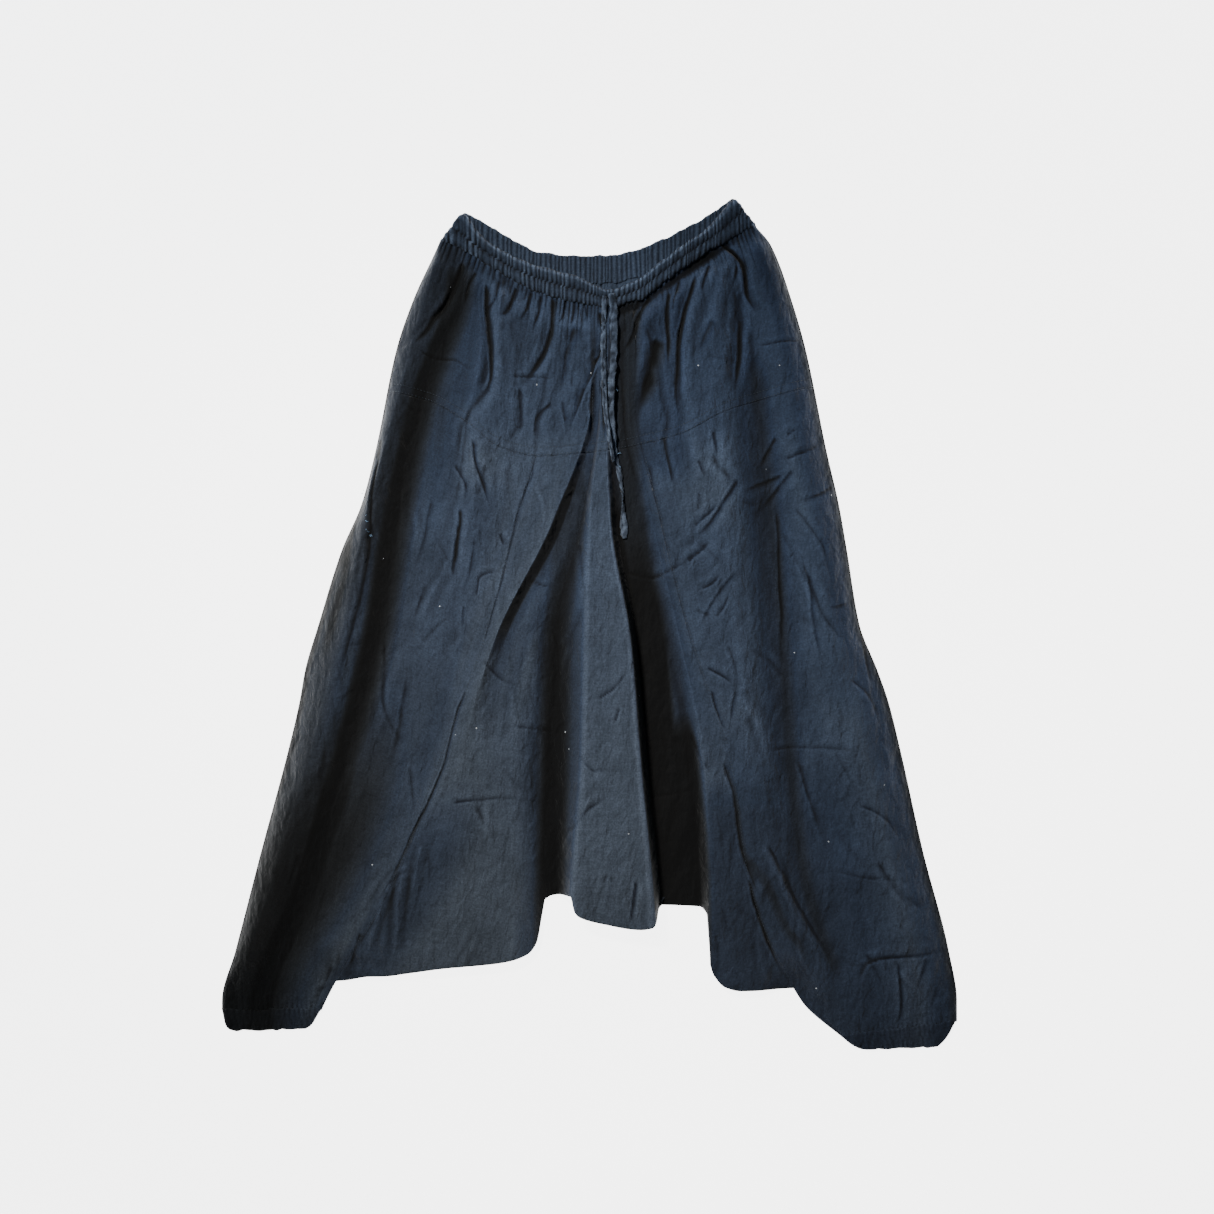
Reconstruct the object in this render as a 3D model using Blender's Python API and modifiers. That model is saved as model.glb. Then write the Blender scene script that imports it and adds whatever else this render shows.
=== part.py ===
"""Harem pants of thin dark cotton, laid flat on their back on a surface.

The garment is a closed tube of cloth: a gathered waistband, a gathered hip yoke, two legs that
end in gathered cuffs, and a wide crotch gusset between them. Laid out, the front panels lie on
the back panels. The front keeps its large folds, and the back is flat where it rests.

Frame: metres, +Z up from the surface, +Y from the hem to the waist, +X to the right as seen from
above. The origin is at the middle of the garment's box, on the surface that it lies on.
"""

import math
from collections import namedtuple

import bmesh
import bpy
import numpy as np
from mathutils import Vector
from mathutils.bvhtree import BVHTree

MM = 0.001

# Driving sizes
CLOTH_WALL = 1.2 * MM
LAYER_GAP = 0.3 * MM
SEAM_GAP = 0.34 * MM
RING_GAP = 0.8 * MM
BAND_WALL = 2.0 * MM
BAND_GATHERS = 60
BAND_WAVE = 0.6 * MM
BAND_PUFF = 1.2 * MM
CUFF_WALL = 1.6 * MM
CUFF_GATHERS = 13
CUFF_WAVE = 0.45 * MM
CORD_WIDTH = 6.0 * MM
CORD_CLEAR = 0.35 * MM

# Heights of the middle of each wall above the surface
BACK_LEVEL = CLOTH_WALL / 2
FRONT_LEVEL = BACK_LEVEL + CLOTH_WALL + LAYER_GAP
BAND_BACK_LEVEL = BAND_WALL / 2 + BAND_WAVE
BAND_FRONT_LEVEL = BAND_BACK_LEVEL + BAND_WALL + LAYER_GAP + 2 * BAND_WAVE
CUFF_BACK_LEVEL = CUFF_WALL / 2 + CUFF_WAVE
CUFF_FRONT_LEVEL = CUFF_BACK_LEVEL + CUFF_WALL + LAYER_GAP + 2 * CUFF_WAVE

# Distances over which the front comes down to the band, and the back rises to the front
WAIST_FADE = 30 * MM
HEM_LIFT_REACH = 150 * MM
SEAM_LIFT_REACH = 60 * MM

# Every table below is in millimetres. A section gives the garment's two sides at one height.
Section = namedtuple("Section", "height left right")
SECTIONS = (
    Section(446, -160, 185), Section(424, -169, 203), Section(363, -197, 226),
    Section(307, -216, 242), Section(195, -239, 265), Section(134, -255, 279),
    Section(83, -277, 288), Section(0, -303, 302), Section(-51, -318, 322),
    Section(-85, -324, 334), Section(-141, -337, 348), Section(-253, -367, 373),
    Section(-365, -396, 402), Section(-421, -411, 411), Section(-457, -411, 411),
)

# Heights along the waist: the front band's seam and top edge, then the back band's
Waist = namedtuple("Waist", "across seam top back_seam back_top")
WAIST = (
    Waist(-166, 428, 466, 428, 466), Waist(-143, 418, 460, 424, 461),
    Waist(-118, 404, 432, 415, 450), Waist(-87, 384, 412, 399, 431),
    Waist(-52, 369, 399, 385, 416), Waist(-13, 358, 389, 380, 413),
    Waist(22, 354, 374, 381, 413), Waist(54, 361, 386, 387, 420),
    Waist(82, 380, 407, 398, 431), Waist(106, 397, 425, 409, 443),
    Waist(132, 415, 443, 421, 457), Waist(163, 433, 476, 436, 477),
    Waist(185, 446, 481, 446, 481),
)
BAND_TOP_ENDS = (-143, 163)
BAND_SEAM_ENDS = (-166, 185)

# Heights of the seam under the yoke
YokeSeam = namedtuple("YokeSeam", "across front back")
YOKE_SEAM = (
    YokeSeam(-230, 260, 260), YokeSeam(-179, 249, 248), YokeSeam(-134, 223, 238),
    YokeSeam(-100, 197, 233), YokeSeam(-58, 187, 229), YokeSeam(17, 193, 227),
    YokeSeam(57, 200, 231), YokeSeam(101, 211, 237), YokeSeam(152, 237, 245),
    YokeSeam(202, 253, 254), YokeSeam(256, 266, 266),
)

# Heights of the crotch's lower edge, which steps up and down where the folds end in it
Hem = namedtuple("Hem", "across height")
HEM = (
    Hem(-300, -400), Hem(-273, -398), Hem(-246, -393), Hem(-226, -392), Hem(-206, -389),
    Hem(-167, -383), Hem(-116, -378), Hem(-94, -375), Hem(-69, -367), Hem(-59, -355),
    Hem(-55, -338), Hem(-51, -309), Hem(-45, -303), Hem(-20, -300),
    Hem(-17, -315), Hem(-11, -322), Hem(12, -329), Hem(57, -336), Hem(70, -334),
    Hem(75, -326), Hem(77, -313), Hem(124, -315), Hem(130, -320), Hem(133, -337),
    Hem(134, -376), Hem(139, -391), Hem(152, -404), Hem(169, -408), Hem(300, -404),
)

# The front lies low along these edges of the legs, and rises over the fade from each.
LowEdge = namedtuple("LowEdge", "name start end fade")
LEFT_CUFF_EDGE = LowEdge("left_cuff", (-411, -429), (-300, -428.5), 60)
RIGHT_CUFF_EDGE = LowEdge("right_cuff", (281, -459), (410, -441.5), 60)
LOW_EDGES = (
    LEFT_CUFF_EDGE,
    RIGHT_CUFF_EDGE,
    LowEdge("left_inner_leg", (-279, -396), (-300, -428), 45),
    LowEdge("right_inner_leg", (224, -408), (281, -459), 45),
)
LEFT_CUFF_END = ((-406, -454), (-313, -452.5))
RIGHT_CUFF_END = ((299, -474.8), (394, -472.8))

# The large folds, each along its own line down the garment. At each station the row gives the
# line's position across and the front's height there above the back. A crisp of 1 is a pressed
# edge and 0 is a round one.
STATIONS = (440, 386, 251, 117, -17, -152, -286, -421, -465)
Fold = namedtuple("Fold", "name crisp across height")
FOLDS = (
    Fold("left_crest", 0.3, (-157, -176, -212, -247, -275, -311, -352, -391, -392),
         (10, 12, 18, 21, 22, 21, 17, 7, 6)),
    Fold("left_valley", 0.0, (-146, -143, -184, -214, -236, -271, -311, -364, -368),
         (5, 5, 4, 3, 3, 3, 3, 3, 3)),
    Fold("left_slope", 0.0, (-130, -125, -143, -158, -176, -203, -259, -330, -336),
         (10, 10, 12, 11, 10, 10, 8, 6, 5)),
    Fold("left_fold", 0.3, (-112, -109, -126, -129, -143, -178, -231, -305, -320),
         (14, 14, 20, 17, 14, 12, 10, 5, 4)),
    Fold("left_seam", 0.1, (-42, -42, -47, -79, -115, -165, -217, -295, -313),
         (12, 12, 14, 16, 18, 17, 13, 4, 3)),
    Fold("flap_edge", 0.9, (-1, -1, 2, -40, -105, -142, -160, -180, -185),
         (12, 12, 15, 20, 21, 21, 18, 12, 12)),
    Fold("flap_foot", 0.2, (5, 5, 6, -28, -94, -124, -132, -140, -142),
         (10, 10, 9, 8, 12, 20, 18, 14, 14)),
    Fold("gusset_face", 0.0, (8, 8, 8, -16, -68, -85, -87, -90, -91),
         (9, 9, 8, 9, 14, 17, 17, 15, 15)),
    Fold("centre_valley", 0.0, (12, 12, 11, -9, -39, -40, -37, -36, -36),
         (10, 10, 9, 8, 5, 3, 3, 3, 3)),
    Fold("pleat_left", 0.5, (17, 17, 14.5, 1, -3, -6, -17, -22, -24),
         (12, 12, 15, 23, 29, 32, 31, 27, 26)),
    Fold("pleat_right", 0.9, (22, 22, 18.5, 23, 45, 56, 69, 78, 80),
         (13, 13, 17, 25, 31, 34, 33, 29, 28)),
    Fold("recess_foot", 0.3, (29, 29, 26, 32, 53, 66, 79, 88, 90),
         (9, 9, 7, 5, 3, 3, 3, 3, 3)),
    Fold("recess_right", 0.0, (36, 36, 36, 56, 83, 110, 122, 124, 126),
         (9, 9, 7, 5, 3, 3, 3, 3, 3)),
    Fold("right_fold", 0.4, (44, 44, 44, 70, 101, 127, 133, 135, 137),
         (11, 11, 10, 9, 9, 15, 18, 13, 12)),
    Fold("right_seam", 0.1, (52, 52, 50, 78, 112, 155, 176, 237, 287),
         (12, 12, 13, 14, 15, 16, 14, 6, 4)),
    Fold("right_crest", 0.0, (118, 124, 135, 148, 160, 174, 200, 259, 306),
         (15, 15, 20, 22, 21, 19, 16, 9, 6)),
    Fold("right_valley", 0.0, (152, 174, 188, 204, 216, 225, 242, 292, 327),
         (8, 8, 7, 6, 6, 6, 5, 4, 4)),
    Fold("right_outer_crest", 0.0, (178, 200, 225, 249, 269, 301, 331, 362, 374),
         (12, 12, 15, 16, 16, 15, 13, 7, 6)),
)

# The gathers that run down from the waistband: the top, middle and lower end of each one's line,
# its height (below zero for a furrow) and its half-width.
Gather = namedtuple("Gather", "top middle end height width")
GATHERS = (
    Gather((-143, 420), (-151, 375), (-199, 315), -6, 9),
    Gather((-115, 395), (-111, 300), (-129, 236), -9, 10),
    Gather((-92, 384), (-98, 330), (-91, 290), 6, 15),
    Gather((-83, 382), (-89, 355), (-105, 338), -5, 9),
    Gather((-56, 371), (-62, 350), (-69, 335), -4, 9),
    Gather((-41, 368), (-51, 307), (-78, 260), -7, 9),
    Gather((-76, 262), (-77, 235), (-77, 209), -4, 9),
    Gather((-30, 363), (-32, 343), (-38, 330), -4, 9),
    Gather((-23, 335), (-30, 285), (-41, 236), -5, 12),
    Gather((10, 354), (12, 313), (-4, 284), -7, 9),
    Gather((39, 357), (33, 298), (32, 215), -7, 11),
    Gather((67, 368), (59, 310), (50, 258), 5, 12),
    Gather((88, 384), (85, 335), (81, 296), -4, 9),
    Gather((74, 320), (62, 269), (48, 216), -6, 12),
    Gather((119, 404), (97, 313), (101, 216), -7, 9),
    Gather((142, 420), (145, 400), (145, 380), -4, 9),
    Gather((151, 410), (133, 324), (115, 276), 6, 14),
    Gather((167, 430), (177, 372), (189, 342), -6, 9),
    Gather((167, 380), (165, 313), (153, 252), -6, 11),
)

# The drawstring's two free ends leave the waistband together and lie on the front.
LONG_END_ROUTE = (
    (25, 369), (27, 352), (27.5, 325), (27, 296), (26, 270), (26, 245), (27, 218), (30, 191),
    (33, 172), (36, 155), (38, 140), (37, 130), (38, 113), (41, 98),
)
SHORT_END_ROUTE = (
    (17, 366), (17, 350), (16.5, 325), (16.5, 296), (17, 270), (18.5, 245), (21.5, 220),
    (24, 200), (27, 180),
)

# Places of the grid's columns between the fold lines: 2.5 is half-way from line 2 to line 3.
LEFT_COLUMNS = (0, 0.3, 0.65, 1, 1.33, 1.67, 2, 2.5, 3, 3.5, 4, 4.33, 4.67, 5)
CENTRE_COLUMNS = (
    0, 0.5, 1, 1.5, 2, 2.5, 3, 3.25, 3.52, 3.68, 4, 4.4, 4.75, 5, 5.2, 5.4, 5.6, 5.8, 6,
    6.33, 7, 7.5, 8, 8.6, 9, 9.5, 10,
)
RIGHT_COLUMNS = (0, 0.33, 0.67, 1, 1.33, 1.67, 2, 2.33, 2.67, 3, 3.33, 3.67, 4)
BACK_LEG_COLUMNS = np.linspace(0, 1, 9)
CENTRE_SEAM_COLUMN = 6
GUSSET_ROWS = 17
LIFTED_ROWS = 7
FLAT_ROWS = 3
YOKE_ROWS = 9
BACK_YOKE_ROWS = 4
LEG_END_ROWS = 2

# Linear colours of washed black cotton, and its roughness
PANEL_COTTON = (0.036, 0.046, 0.060, 1.0)
BAND_COTTON = (0.040, 0.050, 0.064, 1.0)
TIE_COTTON = (0.052, 0.064, 0.078, 1.0)
COTTON_ROUGHNESS = 0.92

SLOPE_STEP = 0.4 * MM


def hermite(ends, values, slopes, at):
    """The cubic between two points with a slope at each."""
    width = ends[1] - ends[0]
    t = (at - ends[0]) / width
    return (
        values[0] * (1 + 2 * t) * (1 - t) ** 2
        + values[1] * t * t * (3 - 2 * t)
        + width * slopes[0] * t * (1 - t) ** 2
        - width * slopes[1] * t * t * (1 - t)
    )


def soft_slopes(steps):
    """Slopes between neighbouring steps that keep a curve from overshooting its points."""
    before, after = steps[:-1], steps[1:]
    turning = before * after <= 0
    return np.where(turning, 0.0, 2 * before * after / np.where(turning, 1.0, before + after))


def curve(keys, values, at):
    """A smooth curve through its points, read at any positions."""
    order = np.argsort(keys)
    keys = np.asarray(keys, float)[order]
    values = np.asarray(values, float)[order]
    steps = np.diff(values) / np.diff(keys)
    slopes = np.concatenate([steps[:1], soft_slopes(steps), steps[-1:]])
    at = np.clip(at, keys[0], keys[-1])
    i = np.clip(np.searchsorted(keys, at, side="right") - 1, 0, len(keys) - 2)
    return hermite(
        (keys[i], keys[i + 1]), (values[i], values[i + 1]), (slopes[i], slopes[i + 1]), at
    )


def read(rows, key, value, at):
    """One column of a table as a curve over another column, in metres."""
    keys = [getattr(row, key) for row in rows]
    values = [getattr(row, value) for row in rows]
    return curve(keys, values, np.asarray(at) / MM) * MM


def ease(t):
    """A smooth step from 0 to 1."""
    t = np.clip(t, 0.0, 1.0)
    return t * t * (3 - 2 * t)


def left_edge(y):
    return read(SECTIONS, "height", "left", y)


def right_edge(y):
    return read(SECTIONS, "height", "right", y)


def waist_seam(x):
    return read(WAIST, "across", "seam", x)


def back_waist_seam(x):
    return read(WAIST, "across", "back_seam", x)


def yoke_seam(x):
    return read(YOKE_SEAM, "across", "front", x)


def back_yoke_seam(x):
    return read(YOKE_SEAM, "across", "back", x)


def hem(x):
    return read(HEM, "across", "height", x)


def straight(start, end, x):
    """The height at a position across of the straight line between two points in millimetres."""
    return (start[1] + (end[1] - start[1]) * (np.asarray(x) / MM - start[0]) / (end[0] - start[0])) * MM


def left_cuff_seam(x):
    return straight(LEFT_CUFF_EDGE.start, LEFT_CUFF_EDGE.end, x)


def right_cuff_seam(x):
    return straight(RIGHT_CUFF_EDGE.start, RIGHT_CUFF_EDGE.end, x)


def fold_line(fold):
    """The function that gives a fold's position across for a height up the garment."""
    return lambda y: curve(STATIONS, fold.across, np.asarray(y) / MM) * MM


def fold_lines(first, last):
    """The lines of the folds from one name to another."""
    names = [fold.name for fold in FOLDS]
    return [fold_line(fold) for fold in FOLDS[names.index(first):names.index(last) + 1]]


LEFT_GUIDES = [left_edge, *fold_lines("left_crest", "left_seam")]
CENTRE_GUIDES = fold_lines("left_seam", "right_seam")
RIGHT_GUIDES = [*fold_lines("right_seam", "right_outer_crest"), right_edge]


def fold_heights(x, y):
    """How far the large folds lift the front above the back, between their lines."""
    across = np.array([left_edge(y), *(fold_line(fold)(y) for fold in FOLDS), right_edge(y)])
    side = np.zeros_like(y)
    rises = [curve(STATIONS, fold.height, y / MM) * MM for fold in FOLDS]
    heights = np.array([side, *rises, side])
    steps = np.diff(heights, axis=0) / np.maximum(np.diff(across, axis=0), MM)
    soft = soft_slopes(steps)
    crisp = np.array([fold.crisp for fold in FOLDS]).reshape(-1, *[1] * y.ndim)
    arriving = np.concatenate([steps[:1], soft + (steps[:-1] - soft) * crisp, 1.8 * steps[-1:]])
    leaving = np.concatenate([1.8 * steps[:1], soft + (steps[1:] - soft) * crisp, steps[-1:]])
    x = np.clip(x, across[0], across[-1])
    i = np.clip((across <= x).sum(axis=0) - 1, 0, len(across) - 2)

    def pick(rows, k):
        return np.take_along_axis(rows, k[None], axis=0)[0]

    start = pick(across, i)
    ends = (start, np.maximum(pick(across, i + 1), start + MM))
    values = (pick(heights, i), pick(heights, i + 1))
    return hermite(ends, values, (pick(leaving, i), pick(arriving, i + 1)), x)


def gather_heights(x, y):
    """How far the gathers under the waistband lift or lower the front."""
    total = np.zeros_like(y)
    for gather in GATHERS:
        (x_top, y_top), (x_middle, y_middle), (x_end, y_end) = gather.top, gather.middle, gather.end
        line = curve((y_end, y_middle, y_top), (x_end, x_middle, x_top), y / MM) * MM
        along = (y / MM - y_end) / (y_top - y_end)
        strength = ease(along / 0.35) * ease((1 - along) / 0.15)
        side = np.clip(np.abs(x - line) / (gather.width * MM), 0, 1)
        total += gather.height * MM * strength * (0.5 + 0.5 * np.cos(math.pi * side))
    return total


def distance_from(edge, x, y):
    """The distance in plan from a low edge."""
    start, end = np.array(edge.start) * MM, np.array(edge.end) * MM
    run = end - start
    along = ((x - start[0]) * run[0] + (y - start[1]) * run[1]) / (run @ run)
    along = np.clip(along, 0, 1)
    return np.hypot(x - start[0] - along * run[0], y - start[1] - along * run[1])


def front_height(x, y):
    """The middle of the front cloth above the surface."""
    lift = np.maximum(fold_heights(x, y) + gather_heights(x, y), 0.0)
    for edge in LOW_EDGES:
        lift = lift * ease(distance_from(edge, x, y) / (edge.fade * MM))
    level = FRONT_LEVEL
    for edge in (LEFT_CUFF_EDGE, RIGHT_CUFF_EDGE):
        near = 1 - ease(distance_from(edge, x, y) / (edge.fade * MM))
        level = level + (CUFF_FRONT_LEVEL - FRONT_LEVEL) * near
    below_band = ease((waist_seam(x) - y) / WAIST_FADE)
    return BAND_FRONT_LEVEL + (level + lift - BAND_FRONT_LEVEL) * below_band


def front_surface(x, y):
    """The front cloth's middle points and its upward directions."""
    step = SLOPE_STEP
    slope_x = (front_height(x + step, y) - front_height(x - step, y)) / (2 * step)
    slope_y = (front_height(x, y + step) - front_height(x, y - step)) / (2 * step)
    middle = np.stack([x, y, front_height(x, y)], axis=-1)
    return middle, unit(np.stack([-slope_x, -slope_y, np.ones_like(y)], axis=-1))


def unit(directions):
    return directions / np.linalg.norm(directions, axis=-1, keepdims=True)


def back_surface(x, y):
    """The back cloth: flat on the surface, and close under the front along the crotch's edge."""
    from_left = ease((x - CENTRE_GUIDES[0](y)) / SEAM_LIFT_REACH)
    from_right = ease((CENTRE_GUIDES[-1](y) - x) / SEAM_LIFT_REACH)
    near = (ease(1 - (y - hem(x)) / HEM_LIFT_REACH) * from_left * from_right)[..., None]
    front, front_up = front_surface(x, y)
    raised = front - front_up * (CLOTH_WALL + LAYER_GAP)
    flat = np.stack([x, y, np.full_like(y, BACK_LEVEL)], axis=-1)
    up = np.zeros_like(flat) + (0.0, 0.0, 1.0)
    return flat + (raised - flat) * near, unit(up + (front_up - up) * near)


def column_lines(guides, columns):
    """The columns' positions across for the heights along each of them."""

    def across(y):
        places = []
        for column, heights in zip(columns, y):
            first = min(int(column), len(guides) - 2)
            start, end = guides[first](heights), guides[first + 1](heights)
            places.append(start + (end - start) * (column - first))
        return np.array(places)

    return across


def meeting_heights(boundary, across, count):
    """Where each column meets a seam or edge, found by halving."""
    low = np.full(count, -500 * MM)
    high = np.full(count, 500 * MM)
    for _ in range(40):
        middle = (low + high) / 2
        above = middle > boundary(across(middle))
        high = np.where(above, middle, high)
        low = np.where(above, low, middle)
    return (low + high) / 2


def panel_ends(guides, columns, top, bottom):
    """The heights at which each column of a panel starts and ends, half a gap from its seams."""
    across = column_lines(guides, columns)
    upper = meeting_heights(top, across, len(columns)) - SEAM_GAP / 2
    lower = meeting_heights(bottom, across, len(columns)) + SEAM_GAP / 2
    return upper, lower


def plan_points(guides, columns, y):
    """Plan positions of a panel's grid, its two sides kept back by half a seam gap."""
    x = column_lines(guides, columns)(y)
    x[0] += SEAM_GAP / 2
    x[-1] -= SEAM_GAP / 2
    return x, y


def even_plan(guides, columns, shares, top, bottom):
    """A panel's plan with its rows at the same shares of every column."""
    upper, lower = panel_ends(guides, columns, top, bottom)
    return plan_points(guides, columns, upper[:, None] + (lower - upper)[:, None] * shares)


def leg_shares(seam_heights, guides, column, cuff_seam):
    """Shares down a leg's column whose rows meet the gusset's rows along their seam."""
    end = panel_ends(guides, [column], cuff_seam, cuff_seam)[1][0]
    rows = np.concatenate([seam_heights, np.linspace(seam_heights[-1], end, LEG_END_ROWS + 1)[1:]])
    return (rows - rows[0]) / (rows[-1] - rows[0])


def halved(columns):
    """The columns with one more in the middle of each two."""
    columns = np.asarray(columns, float)
    middles = (columns[:-1] + columns[1:]) / 2
    return np.sort(np.concatenate([columns, middles]))


def seam_straightened(surface, extra_columns):
    """A surface whose last row runs straight past its extra columns, to meet a coarser panel."""

    def meet(x, y):
        middle, up = surface(x, y)
        for points in (middle, up):
            neighbours = points[extra_columns - 1, -1] + points[extra_columns + 1, -1]
            points[extra_columns, -1] = neighbours / 2
        return middle, up

    return meet


def material(name, colour):
    made = bpy.data.materials.new(name)
    made.use_nodes = True
    shader = made.node_tree.nodes["Principled BSDF"]
    shader.inputs["Base Color"].default_value = colour
    shader.inputs["Roughness"].default_value = COTTON_ROUGHNESS
    shader.inputs["Metallic"].default_value = 0.0
    made.diffuse_color = colour
    return made


def add_object(name, mesh, colour, parts):
    made = bpy.data.objects.new(name, mesh)
    mesh.materials.append(material(name + "_cotton", colour))
    parts.objects.link(made)
    return made


def grid_of_cloth(steps_across, steps_down):
    """A flat triangulated grid whose corners are at half a unit from its middle."""
    cloth = bmesh.new()
    bmesh.ops.create_grid(cloth, x_segments=steps_across, y_segments=steps_down, size=0.5)
    bmesh.ops.triangulate(cloth, faces=cloth.faces[:], quad_method="FIXED")
    return cloth


def finished_mesh(name, cloth):
    bmesh.ops.recalc_face_normals(cloth, faces=cloth.faces[:])
    mesh = bpy.data.meshes.new(name)
    cloth.to_mesh(mesh)
    cloth.free()
    return mesh


def cloth_panel(name, plan, surface, parts):
    """A panel of cloth: a grid on its plan, with a point below and above each middle point."""
    middle, up = surface(*plan)
    steps_across, steps_down = middle.shape[0] - 1, middle.shape[1] - 1
    cloth = grid_of_cloth(steps_across, steps_down)
    lower = set(cloth.verts)
    bmesh.ops.extrude_face_region(cloth, geom=cloth.faces[:], use_keep_orig=True)
    for vertex in cloth.verts:
        i = round((vertex.co.x + 0.5) * steps_across)
        j = round((vertex.co.y + 0.5) * steps_down)
        side = -0.5 if vertex in lower else 0.5
        vertex.co = Vector(middle[i, j] + up[i, j] * CLOTH_WALL * side)
    mesh = finished_mesh(name, cloth)
    mesh.shade_smooth()
    return add_object(name, mesh, PANEL_COTTON, parts)


Band = namedtuple("Band", "wall wave gathers rows puff front_level back_level")
WAISTBAND = Band(BAND_WALL, BAND_WAVE, BAND_GATHERS, 4, BAND_PUFF, BAND_FRONT_LEVEL, BAND_BACK_LEVEL)
CUFF = Band(CUFF_WALL, CUFF_WAVE, CUFF_GATHERS, 3, 0.0, CUFF_FRONT_LEVEL, CUFF_BACK_LEVEL)


def turn_radius(band):
    return (band.front_level - band.back_level) / 2


def turn_inset(band):
    """How far a band's straight walls stop short of the outline, which its turns reach."""
    return turn_radius(band) + band.wall / 2


def end_turn(base, outward, start_level, down, radius):
    """The points of a band's half-round turn from one wall to the other."""
    angles = np.linspace(0, math.pi, 5)[1:-1]
    middle = start_level - down * radius
    return np.array([
        [*(base + outward * radius * math.sin(a)), middle + down * radius * math.cos(a)]
        for a in angles
    ])


def gathered_ring(name, band, front, back, parts):
    """A gathered band laid flat: a front wall, a turn, a back wall and a turn, in one ring.

    front and back give plan points for a share along the band and a share down it.
    """
    steps = 2 * band.gathers
    along = np.linspace(0, 1, steps + 1)
    swing = np.where(np.arange(steps + 1) % 2 == 0, 1.0, -1.0)
    swing[[0, -1]] = 0.0
    radius = turn_radius(band)
    rings = []
    for share in np.linspace(0, 1, band.rows + 1):
        bulge = band.puff * math.sin(2 * math.pi * share) ** 2
        upper = np.column_stack([front(along, share), band.front_level + bulge + band.wave * swing])
        lower = np.column_stack([back(along[::-1], share), band.back_level + band.wave * swing])
        right_turn = end_turn(upper[-1, :2], away(front, 1.0), band.front_level, 1, radius)
        left_turn = end_turn(upper[0, :2], -away(front, 0.0), band.back_level, -1, radius)
        rings.append(np.concatenate([upper, right_turn, lower, left_turn]))
    points = np.array(rings)
    around = points.shape[1]
    cloth = grid_of_cloth(around, band.rows)
    for vertex in cloth.verts:
        i = round((vertex.co.x + 0.5) * around) % around
        j = round((vertex.co.y + 0.5) * band.rows)
        vertex.co = Vector(points[j, i])
    bmesh.ops.remove_doubles(cloth, verts=cloth.verts[:], dist=1e-6)
    made = add_object(name, finished_mesh(name, cloth), BAND_COTTON, parts)
    shell = made.modifiers.new("wall", "SOLIDIFY")
    shell.thickness = band.wall
    shell.offset = 0.0
    return made


def away(place, along):
    """The direction across a band's end, towards larger positions across."""
    upper, lower = place(along, 0.0)[0], place(along, 1.0)[0]
    down = unit(lower - upper)
    return np.array([-down[1], down[0]])


def band_side(top, seam):
    """Plan points of one wall of the waistband, between its top edge and its seam."""
    inset = turn_inset(WAISTBAND)

    def along_row(column, ends, along):
        start, end = ends[0] * MM + inset, ends[1] * MM - inset
        x = start + (end - start) * np.atleast_1d(along)
        return np.column_stack([x, read(WAIST, "across", column, x)])

    def place(along, share):
        upper = along_row(top, BAND_TOP_ENDS, along)
        lower = along_row(seam, BAND_SEAM_ENDS, along) + (0.0, RING_GAP)
        return upper + (lower - upper) * share

    return place


def cuff_side(edge, end):
    """Plan points of one wall of a cuff, between the leg and the cuff's open end."""
    inset = turn_inset(CUFF)
    leg_start, leg_end, open_start, open_end = np.array([edge.start, edge.end, *end]) * MM
    kept_back = np.array([inset, 0.0])
    below = np.array([0.0, RING_GAP])

    def place(along, share):
        along = np.atleast_1d(along)[:, None]
        upper_start, upper_end = leg_start + kept_back - below, leg_end - kept_back - below
        lower_start, lower_end = open_start + kept_back, open_end - kept_back
        upper = upper_start + (upper_end - upper_start) * along
        lower = lower_start + (lower_end - lower_start) * along
        return upper + (lower - upper) * share

    return place


def build_waistband(parts):
    front, back = band_side("top", "seam"), band_side("back_top", "back_seam")
    return gathered_ring("waistband", WAISTBAND, front, back, parts)


def build_cuff(name, edge, end, parts):
    side = cuff_side(edge, end)
    return gathered_ring(name, CUFF, side, side, parts)


def build_yokes(parts):
    """The two front yokes, which meet at the centre-front seam, and the back yoke."""
    shares = np.linspace(0, 1, YOKE_ROWS + 1)
    centre = np.array(CENTRE_COLUMNS)
    before, after = centre[centre <= CENTRE_SEAM_COLUMN], centre[centre >= CENTRE_SEAM_COLUMN]
    last_left = len(LEFT_GUIDES) - 1
    guides = LEFT_GUIDES + CENTRE_GUIDES[1:CENTRE_SEAM_COLUMN + 1]
    columns = np.concatenate([halved(LEFT_COLUMNS), last_left + before[1:]])
    plan = even_plan(guides, columns, shares, waist_seam, yoke_seam)
    extra = np.arange(1, 2 * len(LEFT_COLUMNS) - 2, 2)
    surface = seam_straightened(front_surface, extra)
    left = cloth_panel("front_yoke_left", plan, surface, parts)
    guides = CENTRE_GUIDES[CENTRE_SEAM_COLUMN:] + RIGHT_GUIDES[1:]
    last_centre = len(CENTRE_GUIDES) - 1 - CENTRE_SEAM_COLUMN
    columns = np.concatenate([after - CENTRE_SEAM_COLUMN, last_centre + halved(RIGHT_COLUMNS)[1:]])
    plan = even_plan(guides, columns, shares, waist_seam, yoke_seam)
    extra = len(after) - 1 + np.arange(1, 2 * len(RIGHT_COLUMNS) - 2, 2)
    surface = seam_straightened(front_surface, extra)
    right = cloth_panel("front_yoke_right", plan, surface, parts)
    guides = [left_edge, *CENTRE_GUIDES, right_edge]
    columns = np.concatenate([
        BACK_LEG_COLUMNS, 1 + centre[1:-1], len(CENTRE_GUIDES) + BACK_LEG_COLUMNS
    ])
    shares = np.linspace(0, 1, BACK_YOKE_ROWS + 1)
    plan = even_plan(guides, columns, shares, back_waist_seam, back_yoke_seam)
    cloth_panel("back_yoke", plan, back_surface, parts)
    return [left, right]


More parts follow.
